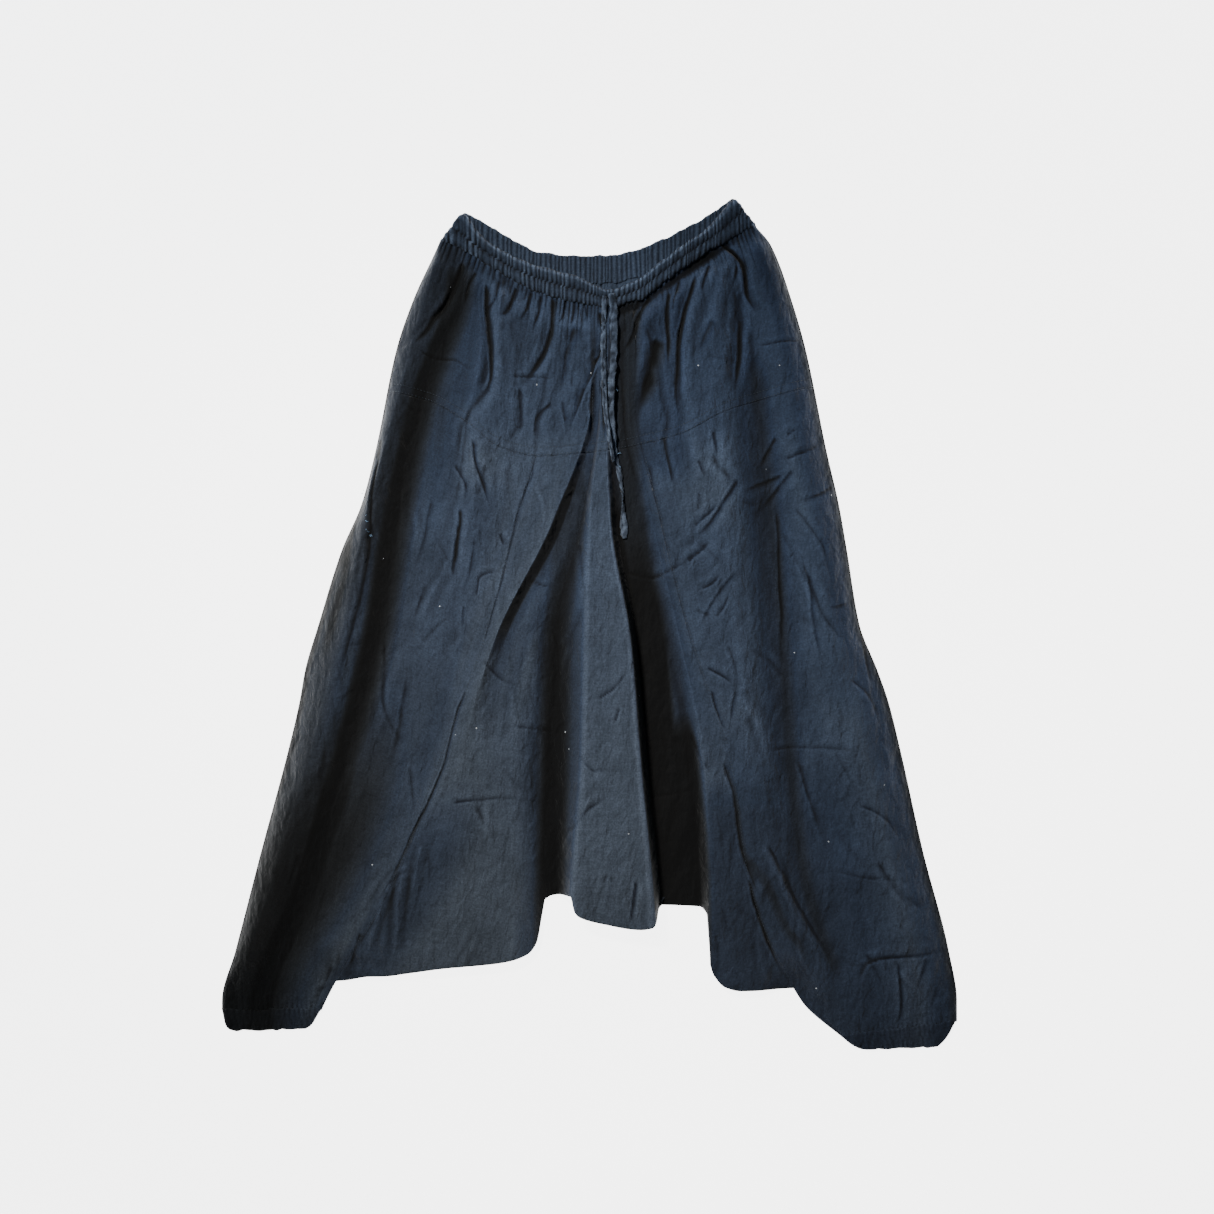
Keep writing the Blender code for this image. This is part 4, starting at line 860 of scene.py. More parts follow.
across_middle = np.meshgrid((50.0, 80.0, 110.0), (-100.0, -150.0), indexing="ij")
print("depth across the recess:", deep(*across_middle)[:, 0].round(2).tolist())

# %% [markdown]
# ## The two layers of cloth
#
# The front is one surface in the mind of the pattern cutter, even where it is sewn from five
# panels, so one function gives its height anywhere. The back lies flat on the floor, and rises
# to the front along the crotch's edge. Where the layers end at a fold or a side, they close on
# each other, because the garment is a tube and not two loose sheets.

# %% Heights of the front and the back
WAIST_FADE = 30
HEM_LIFT_REACH = 150
SEAM_LIFT_REACH = 60
CLOSING = 4.0
SIDE_FADE = 9.0
CALM_LEAST = 0.2
CALM_START = 6
CALM_SIDES = 34.0
LEAST_ROOM = 0.6
BACK_CREASING = 0.7


def unit(directions):
    """Directions brought to a length of one."""
    return directions / np.linalg.norm(directions, axis=-1, keepdims=True)


def front_heights(x, y):
    """The middle of the front cloth above the surface, with all its relief."""
    lift = np.maximum(fold_heights(x, y) + gather_heights(x, y), 0.0)
    level = FRONT_LEVEL
    low = np.ones_like(x)
    for edge in LOW_EDGES:
        low = low * ease(distance_from(edge, x, y) / edge.fade)
    for edge in (LEFT_CUFF_EDGE, RIGHT_CUFF_EDGE):
        near = 1 - ease(distance_from(edge, x, y) / edge.fade)
        level = level + (CUFF_FRONT_LEVEL - FRONT_LEVEL) * near
    below_band = ease((waist_seam(x) - y) / WAIST_FADE)
    plain = BAND_FRONT_LEVEL + (level + lift * low - BAND_FRONT_LEVEL) * below_band
    sides = side_distance(x, y)
    free = ease(sides / SIDE_FADE)
    calm = CALM_LEAST + (1 - CALM_LEAST) * ease((sides - CALM_START) / CALM_SIDES)
    relief = crease_heights(x, y) + crinkles(x, y) * (0.35 + 0.65 * below_band) * calm
    relief += band_puckers(x, y) + cuff_puckers(x, y) + under_band(x, y) + seam_relief(x, y)
    height = plain + relief * free
    lowest = BACK_LEVEL + CLOTH + 0.05
    closed = BACK_LEVEL + (CAD_WALL + CAD_GAP + CLOTH) / 2
    height = np.maximum(height, np.minimum(plain, lowest + LEAST_ROOM))
    return closed + (height - closed) * ease(0.35 + 0.65 * sides / CLOSING)


def surface_normals(points):
    """The upward directions of a grid of points."""
    across = np.gradient(points, axis=0)
    down = np.gradient(points, axis=1)
    return unit(np.cross(down, across))


def front_surface(x, y):
    """The front cloth's middle points and its upward directions."""
    middle = np.stack([x, y, front_heights(x, y)], axis=-1)
    return middle, surface_normals(middle)


def back_surface(x, y):
    """The back cloth: flat on the surface, and close under the front along the crotch's edge."""
    from_left = ease((x - CENTRE_GUIDES[0](y)) / SEAM_LIFT_REACH)
    from_right = ease((CENTRE_GUIDES[-1](y) - x) / SEAM_LIFT_REACH)
    above_hem = np.maximum(y - hem(x), 0)
    near = (ease(1 - above_hem / HEM_LIFT_REACH) * from_left * from_right)[..., None]
    front, front_up = front_surface(x, y)
    apart = CLOTH + (CAD_WALL + CAD_GAP - CLOTH) * ease(above_hem / CLOSING)[..., None]
    raised = front - front_up * apart
    sides = side_distance(x, y)
    close = (CAD_WALL + CAD_GAP - CLOTH) / 2 * (1 - ease(sides / CLOSING))
    creased = np.clip(crinkles(x * 1.07 + 300, y + 90), 0, 0.8) * ease(sides / 20)
    below = np.maximum(back_waist_seam(x) - y, 0)
    creased += puckered(gather_phase(BAND_PLACES, x + 2.1)) * 1.6 * np.exp(-below / 14)
    flat = np.stack([x, y, BACK_LEVEL - 0.2 + close + creased * BACK_CREASING], axis=-1)
    middle = flat + (raised - flat) * near
    return middle, surface_normals(middle)


sample = np.array([[0.0, 150.0]]), np.array([[0.0, 0.0]])
print("front height at two places in mm:", front_heights(*sample).round(1).tolist())

# %% [markdown]
# ## Panels cut from the surface
#
# A panel could be a square grid cut off at its outline, but then every slanting fold would be a
# row of saw teeth. So the columns of each grid follow the folds, and a crisp fold has an edge
# loop right on it. Each column starts and ends where it meets its two seams.

# %% Grids of the panels
COARSER = 1.0
YOKE_STEP = 1.5 * COARSER
GUSSET_STEP = 2.3 * COARSER
LEG_STEP = 1.85 * COARSER
BACK_STEP = 7.0
UNDERSIDE_EVERY = 2
GARMENT_ENDS = (450, -460)
SEARCH_REACH = 500.0
HALVINGS = 40


def fine_columns(guides, step):
    """Places of columns between the guides, close enough everywhere."""
    heights = np.linspace(*GARMENT_ENDS, 15)
    lines = np.array([guide(heights) for guide in guides])
    counts = np.ceil(np.diff(lines, axis=0).max(axis=1) / step).astype(int)
    places = [k + np.arange(count) / count for k, count in enumerate(counts)]
    return np.concatenate([*places, [len(guides) - 1.0]])


def column_lines(guides, columns):
    """The columns' positions across for the heights along each of them."""
    first = np.minimum(columns.astype(int), len(guides) - 2)

    def across(y):
        shape = (-1, *[1] * (y.ndim - 1))
        lines = np.array([guide(y) for guide in guides])
        at = np.broadcast_to(first.reshape(shape), y.shape)[None]
        start = np.take_along_axis(lines, at, axis=0)[0]
        end = np.take_along_axis(lines, at + 1, axis=0)[0]
        return start + (end - start) * (columns - first).reshape(shape)

    return across


def meeting_heights(boundary, across, count):
    """Where each column meets a seam or edge, found by halving."""
    low, high = np.full(count, -SEARCH_REACH), np.full(count, SEARCH_REACH)
    for _ in range(HALVINGS):
        middle = (low + high) / 2
        above = middle > boundary(across(middle))
        high = np.where(above, middle, high)
        low = np.where(above, low, middle)
    return (low + high) / 2


def panel_plan(guides, top, bottom, step, tuck=0.0, tuck_below=0.0):
    """Plan positions of a panel's grid between two seams, tucked under the bands it meets."""
    columns = fine_columns(guides, step)
    across = column_lines(guides, columns)
    upper = meeting_heights(top, across, len(columns)) + tuck
    lower = meeting_heights(bottom, across, len(columns)) - tuck_below
    rows = int(math.ceil((upper - lower).max() / step))
    y = upper[:, None] + (lower - upper)[:, None] * np.linspace(0, 1, rows + 1)
    return across(y), y


print("columns of the gusset:", len(fine_columns(CENTRE_GUIDES, GUSSET_STEP)))

# %% [markdown]
# ## Thin shells of cloth
#
# A solidify modifier could thicken each grid, but it would put as many faces on the hidden side
# as on the one that shows. Here the hidden side has larger faces, which lie low enough never to
# come through, and the two sides meet in a real edge. Each shell also stores three things for
# the finish: where each point is in the cloth, in millimetres; how much it stands proud of its
# surroundings, which makes worn ridges paler and furrows darker by painted shade; and how deep it
# lies in the folds, which darkens them by painted shade.

# %% Thin shells
def grid_quads(nu, nv, wrap_u=False, wrap_v=False):
    """The quads of a grid of points, seen from the side that its rows run down."""
    i = np.arange(nu if wrap_u else nu - 1)[:, None]
    j = np.arange(nv if wrap_v else nv - 1)[None, :]
    i_next, j_next = (i + 1) % nu, (j + 1) % nv
    corners = (i * nv + j, i * nv + j_next, i_next * nv + j_next, i_next * nv + j)
    return np.stack([corner.ravel() for corner in corners], axis=1)


def edge_quads(nu, nv, below):
    """The quads that close the four edges between an upper and a lower grid."""
    u, v = np.arange(nu), np.arange(nv)
    around = np.concatenate([
        u[:-1] * nv, (nu - 1) * nv + v[:-1], u[:0:-1] * nv + nv - 1, v[:0:-1],
    ])
    following = np.roll(around, -1)
    return np.stack([around, following, following + below, around + below], axis=1)


PROUD_REACH = 7
PROUD_HEIGHT = 1.6


def proud(points, step):
    """How far each point stands above its surroundings, from 0 in a furrow to 1 on a ridge."""
    z = points[..., 2]
    around = smoothed(z, int((PROUD_REACH / step) ** 2) + 1)
    return np.clip(0.5 + (z - around) / PROUD_HEIGHT, 0, 1)


def cloth_places(points):
    """Where each point is in the cloth: millimetres across and along its threads."""
    across = np.linalg.norm(np.diff(points, axis=0), axis=-1)
    down = np.linalg.norm(np.diff(points, axis=1), axis=-1)
    u = np.concatenate([np.zeros((1, points.shape[1])), np.cumsum(across, axis=0)])
    v = np.concatenate([np.zeros((points.shape[0], 1)), np.cumsum(down, axis=1)], axis=1)
    middle_row = points.shape[1] // 2
    u_even = np.broadcast_to(u[:, middle_row][:, None], u.shape)
    return np.stack([(u_even + u) / 2, v, np.zeros_like(u)], axis=-1)


def add_object(name, points, faces):
    """A smooth mesh object from points in millimetres."""
    mesh = bpy.data.meshes.new(name)
    mesh.from_pydata((points * MM).tolist(), [], [list(face) for face in faces])
    mesh.shade_smooth()
    made = bpy.data.objects.new(name, mesh)
    bpy.context.scene.collection.objects.link(made)
    return made


def add_cloth(name, points, faces, wear_and_shade, places, depth=None):
    """An object of cloth storing wear and painted shade, painted fold shade, and where its threads run."""
    made = add_object(name, points, faces)
    for stored, values in (("wear_and_shade", wear_and_shade), ("deep", depth)):
        if values is not None:
            attribute = made.data.attributes.new(stored, "FLOAT", "POINT")
            attribute.data.foreach_set("value", values.astype("f"))
    grain = made.data.attributes.new("grain", "FLOAT_VECTOR", "POINT")
    grain.data.foreach_set("vector", places.astype("f").ravel())
    return made


def lowest_near(values, reach):
    """Each value of a grid lowered to the least one within reach of it."""
    for axis in (0, 1):
        around = [(reach, reach) if a == axis else (0, 0) for a in (0, 1)]
        padded = np.pad(values, around, mode="edge")
        values = np.min([
            np.take(padded, np.arange(k, k + values.shape[axis]), axis=axis)
            for k in range(2 * reach + 1)
        ], axis=0)
    return values


def underside_faces(nu, nv, every):
    """Larger faces for a grid's hidden side, which keep all the points along its edges."""
    rows = [*range(0, nu - 1, every), nu - 1]
    columns = [*range(0, nv - 1, every), nv - 1]
    faces = []
    for a, b in zip(rows, rows[1:]):
        for c, d in zip(columns, columns[1:]):
            ring = [(i, c) for i in range(a, b, 1 if c == 0 else b - a)]
            ring += [(b, j) for j in range(c, d, 1 if b == nu - 1 else d - c)]
            ring += [(i, d) for i in range(b, a, -1 if d == nv - 1 else a - b)]
            ring += [(a, j) for j in range(d, c, -1 if a == 0 else c - d)]
            faces.append([i * nv + j for i, j in ring])
    return faces


def cloth_shell(name, middle, up, step, depth):
    """A thin shell of cloth on its middle points, with larger faces on the hidden side."""
    nu, nv = middle.shape[:2]
    upper = (middle + up * CLOTH / 2).reshape(-1, 3)
    lower = middle - up * CLOTH / 2
    lower[1:-1, 1:-1] = middle[1:-1, 1:-1]
    lower[1:-1, 1:-1, 2] = (lowest_near(middle[..., 2], UNDERSIDE_EVERY) - CLOTH / 2)[1:-1, 1:-1]
    lower = lower.reshape(-1, 3)
    lower[:, 2] = np.maximum(lower[:, 2], 0.02)
    below = [[nu * nv + i for i in face] for face in underside_faces(nu, nv, UNDERSIDE_EVERY)]
    faces = grid_quads(nu, nv).tolist() + below + edge_quads(nu, nv, nu * nv).tolist()
    used = np.concatenate([np.arange(nu * nv), np.unique(np.concatenate(below))])
    number_of = dict(zip(used.tolist(), range(len(used))))
    faces = [[number_of[i] for i in face] for face in faces]
    # Wear and painted shade: ridges paler and furrows darker by how proud each point is; painted shade in
    # the folds by how deep it lies.
    wear_and_shade = np.tile(proud(middle, step).ravel(), 2)
    places = np.tile(cloth_places(middle).reshape(-1, 3), (2, 1))
    deep_at = np.tile(depth.ravel(), 2)
    points = np.concatenate([upper, lower])
    return add_cloth(name, points[used], faces, wear_and_shade[used], places[used], deep_at[used])


def flat_size(middle):
    """The size a panel is cut to: its longest row and column, and its area, in metres."""
    across = np.linalg.norm(np.diff(middle, axis=0)[..., [0, 2]], axis=-1).sum(axis=0).max()
    down = np.linalg.norm(np.diff(middle, axis=1)[..., [1, 2]], axis=-1).sum(axis=1).max()
    one = middle[1:, 1:] - middle[:-1, :-1]
    other = middle[1:, :-1] - middle[:-1, 1:]
    area = np.linalg.norm(np.cross(one, other), axis=-1).sum() / 2
    return (float(across) * MM, float(down) * MM), float(area) * MM * MM


print("hidden faces under a grid of 9 by 9 points:", len(underside_faces(9, 9, UNDERSIDE_EVERY)))

# %% [markdown]
# ## The two free ends of the tie
#
# The tie is a strip of the same cloth, its raw edges folded in and sewn down. Its two ends hang
# out at the centre front and lie on the folds below. A curve with a round bevel would make a
# smooth pipe of each, so they are rows of points around a line instead: flat, with a furrow where
# the folded edges meet, ruffled at random, and leaning over where the strip twists.

# %% Routes of the tie
LONG_END_ROUTE = (
    (25, 369), (27, 352), (27.5, 325), (27, 296), (25, 270), (24, 245), (26, 218), (29, 191),
    (32.5, 172), (35.5, 155), (37.5, 140), (37.5, 130), (38.5, 113), (39.5, 96),
)
SHORT_END_ROUTE = (
    (17, 366), (16.5, 350), (16, 325), (16, 296), (16.5, 270), (17.5, 245), (20.5, 220),
    (23.5, 200), (26.5, 180),
)
TIE_HALF_WIDTH = 3.1
TIE_HALF_THICKNESS = 1.15
TIE_SIDES = 16
TIE_SPACING = 2.5
TIE_ON_BAND = BAND_FRONT_LEVEL + 3.2
TIE_ROOM = 0.1
TIE_RUFFLE = 1.5
TIE_FURROW = 0.9


def resting_line(route, lean):
    """Points of a tie's middle on the front cloth, eased so that it bridges small furrows."""
    plan = route_points(route, TIE_SPACING)
    reach = np.linspace(-1, 1, 5) * TIE_HALF_WIDTH
    x = plan[:, 0][:, None] + reach
    y = np.broadcast_to(plan[:, 1][:, None], x.shape)
    on_cloth = front_heights(x, y).max(axis=1) + CLOTH / 2
    on_cloth = np.where(plan[:, 1] > waist_seam(plan[:, 0]) - 2, TIE_ON_BAND, on_cloth)
    half = np.abs(np.sin(lean)) * TIE_HALF_WIDTH + np.abs(np.cos(lean)) * TIE_HALF_THICKNESS
    rest = on_cloth + half + TIE_ROOM
    eased = rest.copy()
    for _ in range(30):
        eased[1:-1] = np.maximum(rest[1:-1], (eased[:-2] + 2 * eased[1:-1] + eased[2:]) / 4)
    return np.column_stack([plan, eased])


print("height of the tie on the band in mm:", round(TIE_ON_BAND, 1))

# %% The folded strip of the tie
def directions_beside(line, axis=0):
    """The directions to the side of a line's points and up from them."""
    forward = unit(np.gradient(line, axis=axis))
    side = unit(np.cross(forward, (0.0, 0.0, 1.0)))
    return side, np.cross(side, forward)


def tie_mesh(name, line, lean, widths):
    """A folded strip of cloth along its line: a flat section with a furrow where its edges meet."""
    side, over = directions_beside(line)
    turned_side = side * np.cos(lean)[:, None] + over * np.sin(lean)[:, None]
    turned_over = over * np.cos(lean)[:, None] - side * np.sin(lean)[:, None]
    angles = np.linspace(0, 2 * math.pi, TIE_SIDES, endpoint=False)
    wide = np.sign(np.cos(angles)) * np.abs(np.cos(angles)) ** 0.8 * TIE_HALF_WIDTH
    thick = np.sin(angles) * TIE_HALF_THICKNESS
    furrow = np.where(np.sin(angles) > 0, np.exp(-((wide - 0.4) / 0.8) ** 2) * TIE_FURROW, 0)
    draw = np.random.default_rng(len(name))
    rows = len(line)
    ruffle = smoothed(draw.normal(0, 1, (TIE_SIDES, rows)), 1).T * TIE_RUFFLE
    section_wide = wide[None, :] * widths[:, None] + ruffle
    section_thick = (thick - furrow)[None, :] + np.roll(ruffle, 3, axis=1) * 0.6
    points = (
        line[:, None, :] + turned_side[:, None, :] * section_wide[..., None]
        + turned_over[:, None, :] * section_thick[..., None]
    )
    faces = grid_quads(rows, TIE_SIDES, wrap_v=True)[:, ::-1].tolist()
    start, end, last_row = rows * TIE_SIDES, rows * TIE_SIDES + 1, (rows - 1) * TIE_SIDES
    for k in range(TIE_SIDES):
        following = (k + 1) % TIE_SIDES
        faces.append([start, k, following])
        faces.append([end, last_row + following, last_row + k])
    points = np.concatenate([points.reshape(-1, 3), [line[0], line[-1]]])
    u = np.tile(np.arange(TIE_SIDES) * 0.9, (rows, 1))
    v = np.tile(np.arange(rows)[:, None] * TIE_SPACING, (1, TIE_SIDES))
    places = np.stack([u, v, u * 0], axis=-1).reshape(-1, 3)
    places = np.concatenate([places, np.zeros((2, 3))])
    # Wear and painted shade on the tie: paler where it ruffles up, darker where it ruffles down.
    wear_and_shade = np.clip(0.5 + np.append(ruffle.ravel() * 0.6, [0, 0]), 0, 1)
    return add_cloth(name, points, faces, wear_and_shade, places)


def tie_end(name, route, lean_at, width_at):
    """One free end of the tie, with its lean and width given along its length."""
    share = np.linspace(0, 1, len(route_points(route, TIE_SPACING)))
    lean = np.interp(share, *zip(*lean_at))
    widths = np.interp(share, *zip(*width_at))
    line = resting_line(route, lean)
    length = float(np.linalg.norm(np.diff(line, axis=0), axis=1).sum())
    print(name, "length in mm:", round(length, 1))
    return tie_mesh(name, line, lean, widths), line, length


long_end, long_line, long_length = tie_end(
    "tie_long_end", LONG_END_ROUTE,
    ((0, 0.2), (0.2, -0.15), (0.45, 0.2), (0.62, -0.2), (0.78, 0.7), (0.85, 1.35), (0.9, 0.3), (1, 0.1)),
    ((0, 1.0), (0.08, 1.35), (0.3, 1.3), (0.42, 1.05), (0.6, 0.85), (0.74, 0.8), (0.84, 0.55),
     (0.9, 0.9), (0.95, 1.35), (0.985, 1.1), (1, 0.45)),
)
short_end, short_line, short_length = tie_end(
    "tie_short_end", SHORT_END_ROUTE,
    ((0, 0.4), (0.15, 0.2), (0.5, 0.35), (0.8, 0.2), (1, 0.9)),
    ((0, 0.8), (0.1, 0.8), (0.45, 0.95), (0.6, 0.8), (0.9, 0.6), (1, 0.5)),
)

# %% [markdown]
# ## The nine panels
#
# On the front the pants are sewn from two half yokes, a gusset and two legs, and on the back from
# one yoke, a gusset and two legs. Each panel is cut from the front's or the back's surface, and
# reaches a little under the band or cuff that it is sewn to. The yokes have the finest creases,
# so their grids are the closest. The back hardly shows, so its grids are wide.

# %% The five front panels and the four back ones
pieces = {}


def keep(name, made, middle):
    """Keeps a finished piece with its middle points, and prints its cut."""
    pieces[name] = (made, middle)
    size, area = flat_size(middle)
    print(name, "grid", middle.shape[:2], "cut", [round(v, 3) for v in size], "area", round(area, 4))


def sew(name, surface, guides, top, bottom, step, tuck=0.0, tuck_below=0.0):
    """One panel as a thin shell of cloth between its seams."""
    x, y = panel_plan(guides, top, bottom, step, tuck, tuck_below)
    middle, up = surface(x, y)
    depth = deep(x, y) if surface is front_surface else np.zeros_like(x)
    keep(name, cloth_shell(name + "_cloth", middle, up, step, depth), middle)


BAND_TUCK = 2.2
BACK_TUCK = 4.0
CUFF_TUCK = 2.4
left_half = LEFT_GUIDES + CENTRE_GUIDES[1:CENTRE_SEAM + 1]
right_half = CENTRE_GUIDES[CENTRE_SEAM:] + RIGHT_GUIDES[1:]
for name, guides in (("front_yoke_left", left_half), ("front_yoke_right", right_half)):
    sew(name, front_surface, guides, waist_seam, yoke_seam, YOKE_STEP, BAND_TUCK)
sew("front_gusset", front_surface, CENTRE_GUIDES, yoke_seam, hem, GUSSET_STEP)
for name, guides, cuff_seam in (
    ("front_leg_left", LEFT_GUIDES, left_cuff_seam), ("front_leg_right", RIGHT_GUIDES, right_cuff_seam),
):
    sew(name, front_surface, guides, yoke_seam, cuff_seam, LEG_STEP, 0.0, CUFF_TUCK)
whole_back = [left_edge, *CENTRE_GUIDES, right_edge]
sew("back_yoke", back_surface, whole_back, back_waist_seam, back_yoke_seam, BACK_STEP, BACK_TUCK)
sew("back_gusset", back_surface, CENTRE_GUIDES, back_yoke_seam, hem, BACK_STEP)
for name, guides, cuff_seam in (
    ("back_leg_left", [left_edge, CENTRE_GUIDES[0]], left_cuff_seam),
    ("back_leg_right", [CENTRE_GUIDES[-1], right_edge], right_cuff_seam),
):
    sew(name, back_surface, guides, back_yoke_seam, cuff_seam, BACK_STEP, 0.0, CUFF_TUCK)

# %% [markdown]
# ## The gathered bands
#
# The waistband is a strip folded double over two rows of elastic and gathered to about 70 fine
# gathers on each side. Each row of elastic fills its channel, and the stitches between the rows
# pull the band in. A cuff is the same with one narrow row. Both are rings laid flat, so the band
# goes round: along the front, over a tight turn, and back behind. A modifier could bend a flat
# strip into such a ring, but it would stretch the gathers at each turn.

# %% The plan of the bands
Band = namedtuple("Band", "wall front_level back_level rows free_edge puff ridge channels places")
WAISTBAND = Band(2.0, BAND_FRONT_LEVEL, BAND_BACK_LEVEL, 28, 0, 3.0, 2.3, 2, BAND_PLACES)
CUFF = Band(1.6, CUFF_FRONT_LEVEL, CUFF_BACK_LEVEL, 16, 1, 0.4, 0.42, 1, CUFF_PLACES)
RING_GAP = 0.8
GATHER_SAMPLES = 0.7
CUFF_CORNER = 9.0


def turn_inset(band):
    """How far a band's straight walls stop short of the outline, which its turns reach."""
    return (band.front_level - band.back_level) / 2 + band.wall / 2


def band_side(top, seam):
    """Plan points of one wall of the waistband, between its top edge and its seam."""
    inset = turn_inset(WAISTBAND)

    def place(along, share):
        rows = []
        for column, ends, drop in ((top, BAND_TOP_ENDS, 0.0), (seam, BAND_SEAM_ENDS, RING_GAP)):
            start, end = ends[0] + inset, ends[1] - inset
            x = start + (end - start) * along
            rows.append(np.stack([x, line_of(WAIST, "across", column)(x) + drop], axis=-1))
        return rows[0] + (rows[1] - rows[0]) * share[..., None]

    return place


def cuff_side(edge, end):
    """Plan points of one wall of a cuff, between the leg and the cuff's open end."""
    inset = turn_inset(CUFF)
    corners = np.array([edge.start, edge.end, *end], float)
    leg_start, leg_end, open_start, open_end = corners + np.array([
        [inset, -RING_GAP], [-inset, -RING_GAP], [inset, 0], [-inset, 0],
    ])
    height = abs(leg_start[1] - open_start[1])

    def place(along, share):
        upper = leg_start + (leg_end - leg_start) * along[..., None]
        lower = open_start + (open_end - open_start) * along[..., None]
        into_corner = np.clip((share - 1) * height / CUFF_CORNER + 1, 0, 1)
        inset = CUFF_CORNER * (1 - np.sqrt(1 - into_corner**2)) * (1 - 2 * along)
        return upper + (lower - upper) * share[..., None] + np.stack([inset, inset * 0], axis=-1)

    return place


def ring_middle(band, front, back, shares):
    """The middle points of a flat ring: front wall, turn, back wall, turn."""
    first, last = front(np.array([0.0, 1.0]), np.ones(2))
    count = int(np.linalg.norm(last - first) / GATHER_SAMPLES)
    along = np.linspace(0, 1, count)
    turn = np.linspace(0, math.pi, 7)[1:-1]
    radius = (band.front_level - band.back_level) / 2
    rings = []
    for share in shares:
        fill = np.full_like(along, share)
        upper, lower = front(along, fill), back(along[::-1], fill)
        up = np.column_stack([upper, np.full(count, band.front_level)])
        down = np.column_stack([lower, np.full(count, band.back_level)])
        sides = []
        for a, b, sign in ((up[-1], down[0], 1), (down[-1], up[0], -1)):
            t = (1 - np.cos(turn)) / 2
            middle = a + (b - a) * t[:, None]
            middle[:, 0] += sign * radius * np.sin(turn)
            sides.append(middle)
        rings.append(np.concatenate([up, sides[0], down, sides[1]]))
    return np.array(rings).transpose(1, 0, 2)


print("inset of the waistband's walls in mm:", round(turn_inset(WAISTBAND), 2))

# %% The gathered rings
ROUNDED_SHARE = 0.06
# A painted highlight along the waistband's upper edge.
EDGE_HIGHLIGHT = 0.3


def band_wear_and_shade(in_channel, free, rise, rise_in):
    """The waistband's wear and painted light: paler on gathers and elastic, shaded between, lit at its top.
    """
    painted_edge_highlight = EDGE_HIGHLIGHT * np.exp(-((free - 0.1) / 0.07) ** 2)
    outside = 0.16 + 0.9 * rise + 0.22 * in_channel + painted_edge_highlight
    return np.concatenate([outside, 0.42 + 0.5 * rise_in], axis=1)


def cuff_wear_and_shade(rise, rise_in):
    """A cuff's wear and painted shade between its gathers, which is slight and even."""
    return np.concatenate([0.4 + 0.3 * rise, 0.4 + 0.3 * rise_in], axis=1)


def gathered_ring(name, band, front, back, seed):
    """A gathered band as one closed body, folded over at its free edge."""
    shares = np.linspace(0, 1, band.rows + 1)
    middle = ring_middle(band, front, back, shares)
    around = np.roll(middle, -1, axis=0) - np.roll(middle, 1, axis=0)
    down = np.gradient(middle, axis=1)
    out = unit(np.cross(down, around))
    free = np.abs(band.free_edge - shares)
    in_channel = np.abs(np.sin(math.pi * band.channels * free))
    puff = band.puff * in_channel ** 0.7
    rounded = np.sqrt(np.clip(1 - (1 - free / ROUNDED_SHARE) ** 2, 0, 1))
    edge = np.where(free < ROUNDED_SHARE, rounded, 1.0)
    x, y = middle[..., 0], middle[..., 1]
    stagger = ease((free - 0.46) / 0.08) * 0.5
    shift = soft_noise(x, y * 0.4, 13, seed) * 0.35 + stagger
    phase = gather_phase(band.places, x) + shift
    swell = gather_value(phase, 0.3, 1.35, seed + 1) * (1 + 0.35 * soft_noise(x, y, 5, seed + 2))
    ridge = (puckered(phase) - 0.55) * swell * band.ridge * (1.15 - 0.5 * in_channel)
    facing_up = np.clip(out[..., 2], 0, 1)
    relief = puff * facing_up + ridge * (0.3 + 0.7 * facing_up)
    outer = middle + out * (band.wall / 2 * edge + relief)[..., None]
    phase_in = gather_phase(band.places, x + 2.1) + soft_noise(x, y * 0.3, 15, seed + 7) * 0.3
    ridge_in = (puckered(phase_in) - 0.45) * band.ridge * 0.75
    inner = middle - out * (band.wall / 2 * edge + ridge_in)[..., None]
    flutter = gather_value(phase, -0.9, 0.9, seed + 3) * np.exp(-free / 0.08)
    flutter += gather_value(phase, -1.6, 1.6, seed + 4) * np.exp(-(1 - free) / 0.12)
    outer[..., 1] += flutter
    inner[..., 1] += flutter
    section = np.concatenate([outer, inner[:, ::-1]], axis=1)
    section[..., 2] = np.maximum(section[..., 2], 0.02)
    nu, nv = section.shape[:2]
    u = np.broadcast_to(distances(outer[:, 5])[:, None], (nu, nv))
    v = np.broadcast_to(np.arange(nv)[None, :] * 1.3, (nu, nv))
    rise, rise_in = ridge / band.ridge, ridge_in[:, ::-1] / band.ridge
    # Wear and painted shade on the bands; the cuffs also take the strips of painted shade.
    if band is WAISTBAND:
        wear_and_shade, depth = band_wear_and_shade(in_channel, free, rise, rise_in), np.zeros((nu, nv))
    else:
        wear_and_shade, depth = cuff_wear_and_shade(rise, rise_in), painted_shade(section[..., 0], section[..., 1]) * 0.9
    made = add_cloth(
        name + "_cloth", section.reshape(-1, 3), grid_quads(nu, nv, True, True),
        np.clip(wear_and_shade.ravel(), 0, 1), np.stack([u, v, u * 0], axis=-1).reshape(-1, 3), depth.ravel(),
    )
    keep(name, made, outer)


gathered_ring("waistband", WAISTBAND, band_side("top", "seam"), band_side("back_top", "back_seam"), 51)
for name, edge, end, seed in (
    ("cuff_left", LEFT_CUFF_EDGE, LEFT_CUFF_END, 61), ("cuff_right", RIGHT_CUFF_EDGE, RIGHT_CUFF_END, 71),
):
    wall = cuff_side(edge, end)
    gathered_ring(name, CUFF, wall, wall, seed)

# %% [markdown]
# ## Sewing thread
#
# The yoke is topstitched with two rows above its seam, the gusset seams have one row each, and
# the centre front has two short rows. A real stitch is 3 mm of 0.3 mm thread. That is finer than
# a pixel here, so each stitch is drawn twice as thick, as a small bead that lies in the groove of
# its row. A texture of stitches would be blurred by the folds that it crosses.

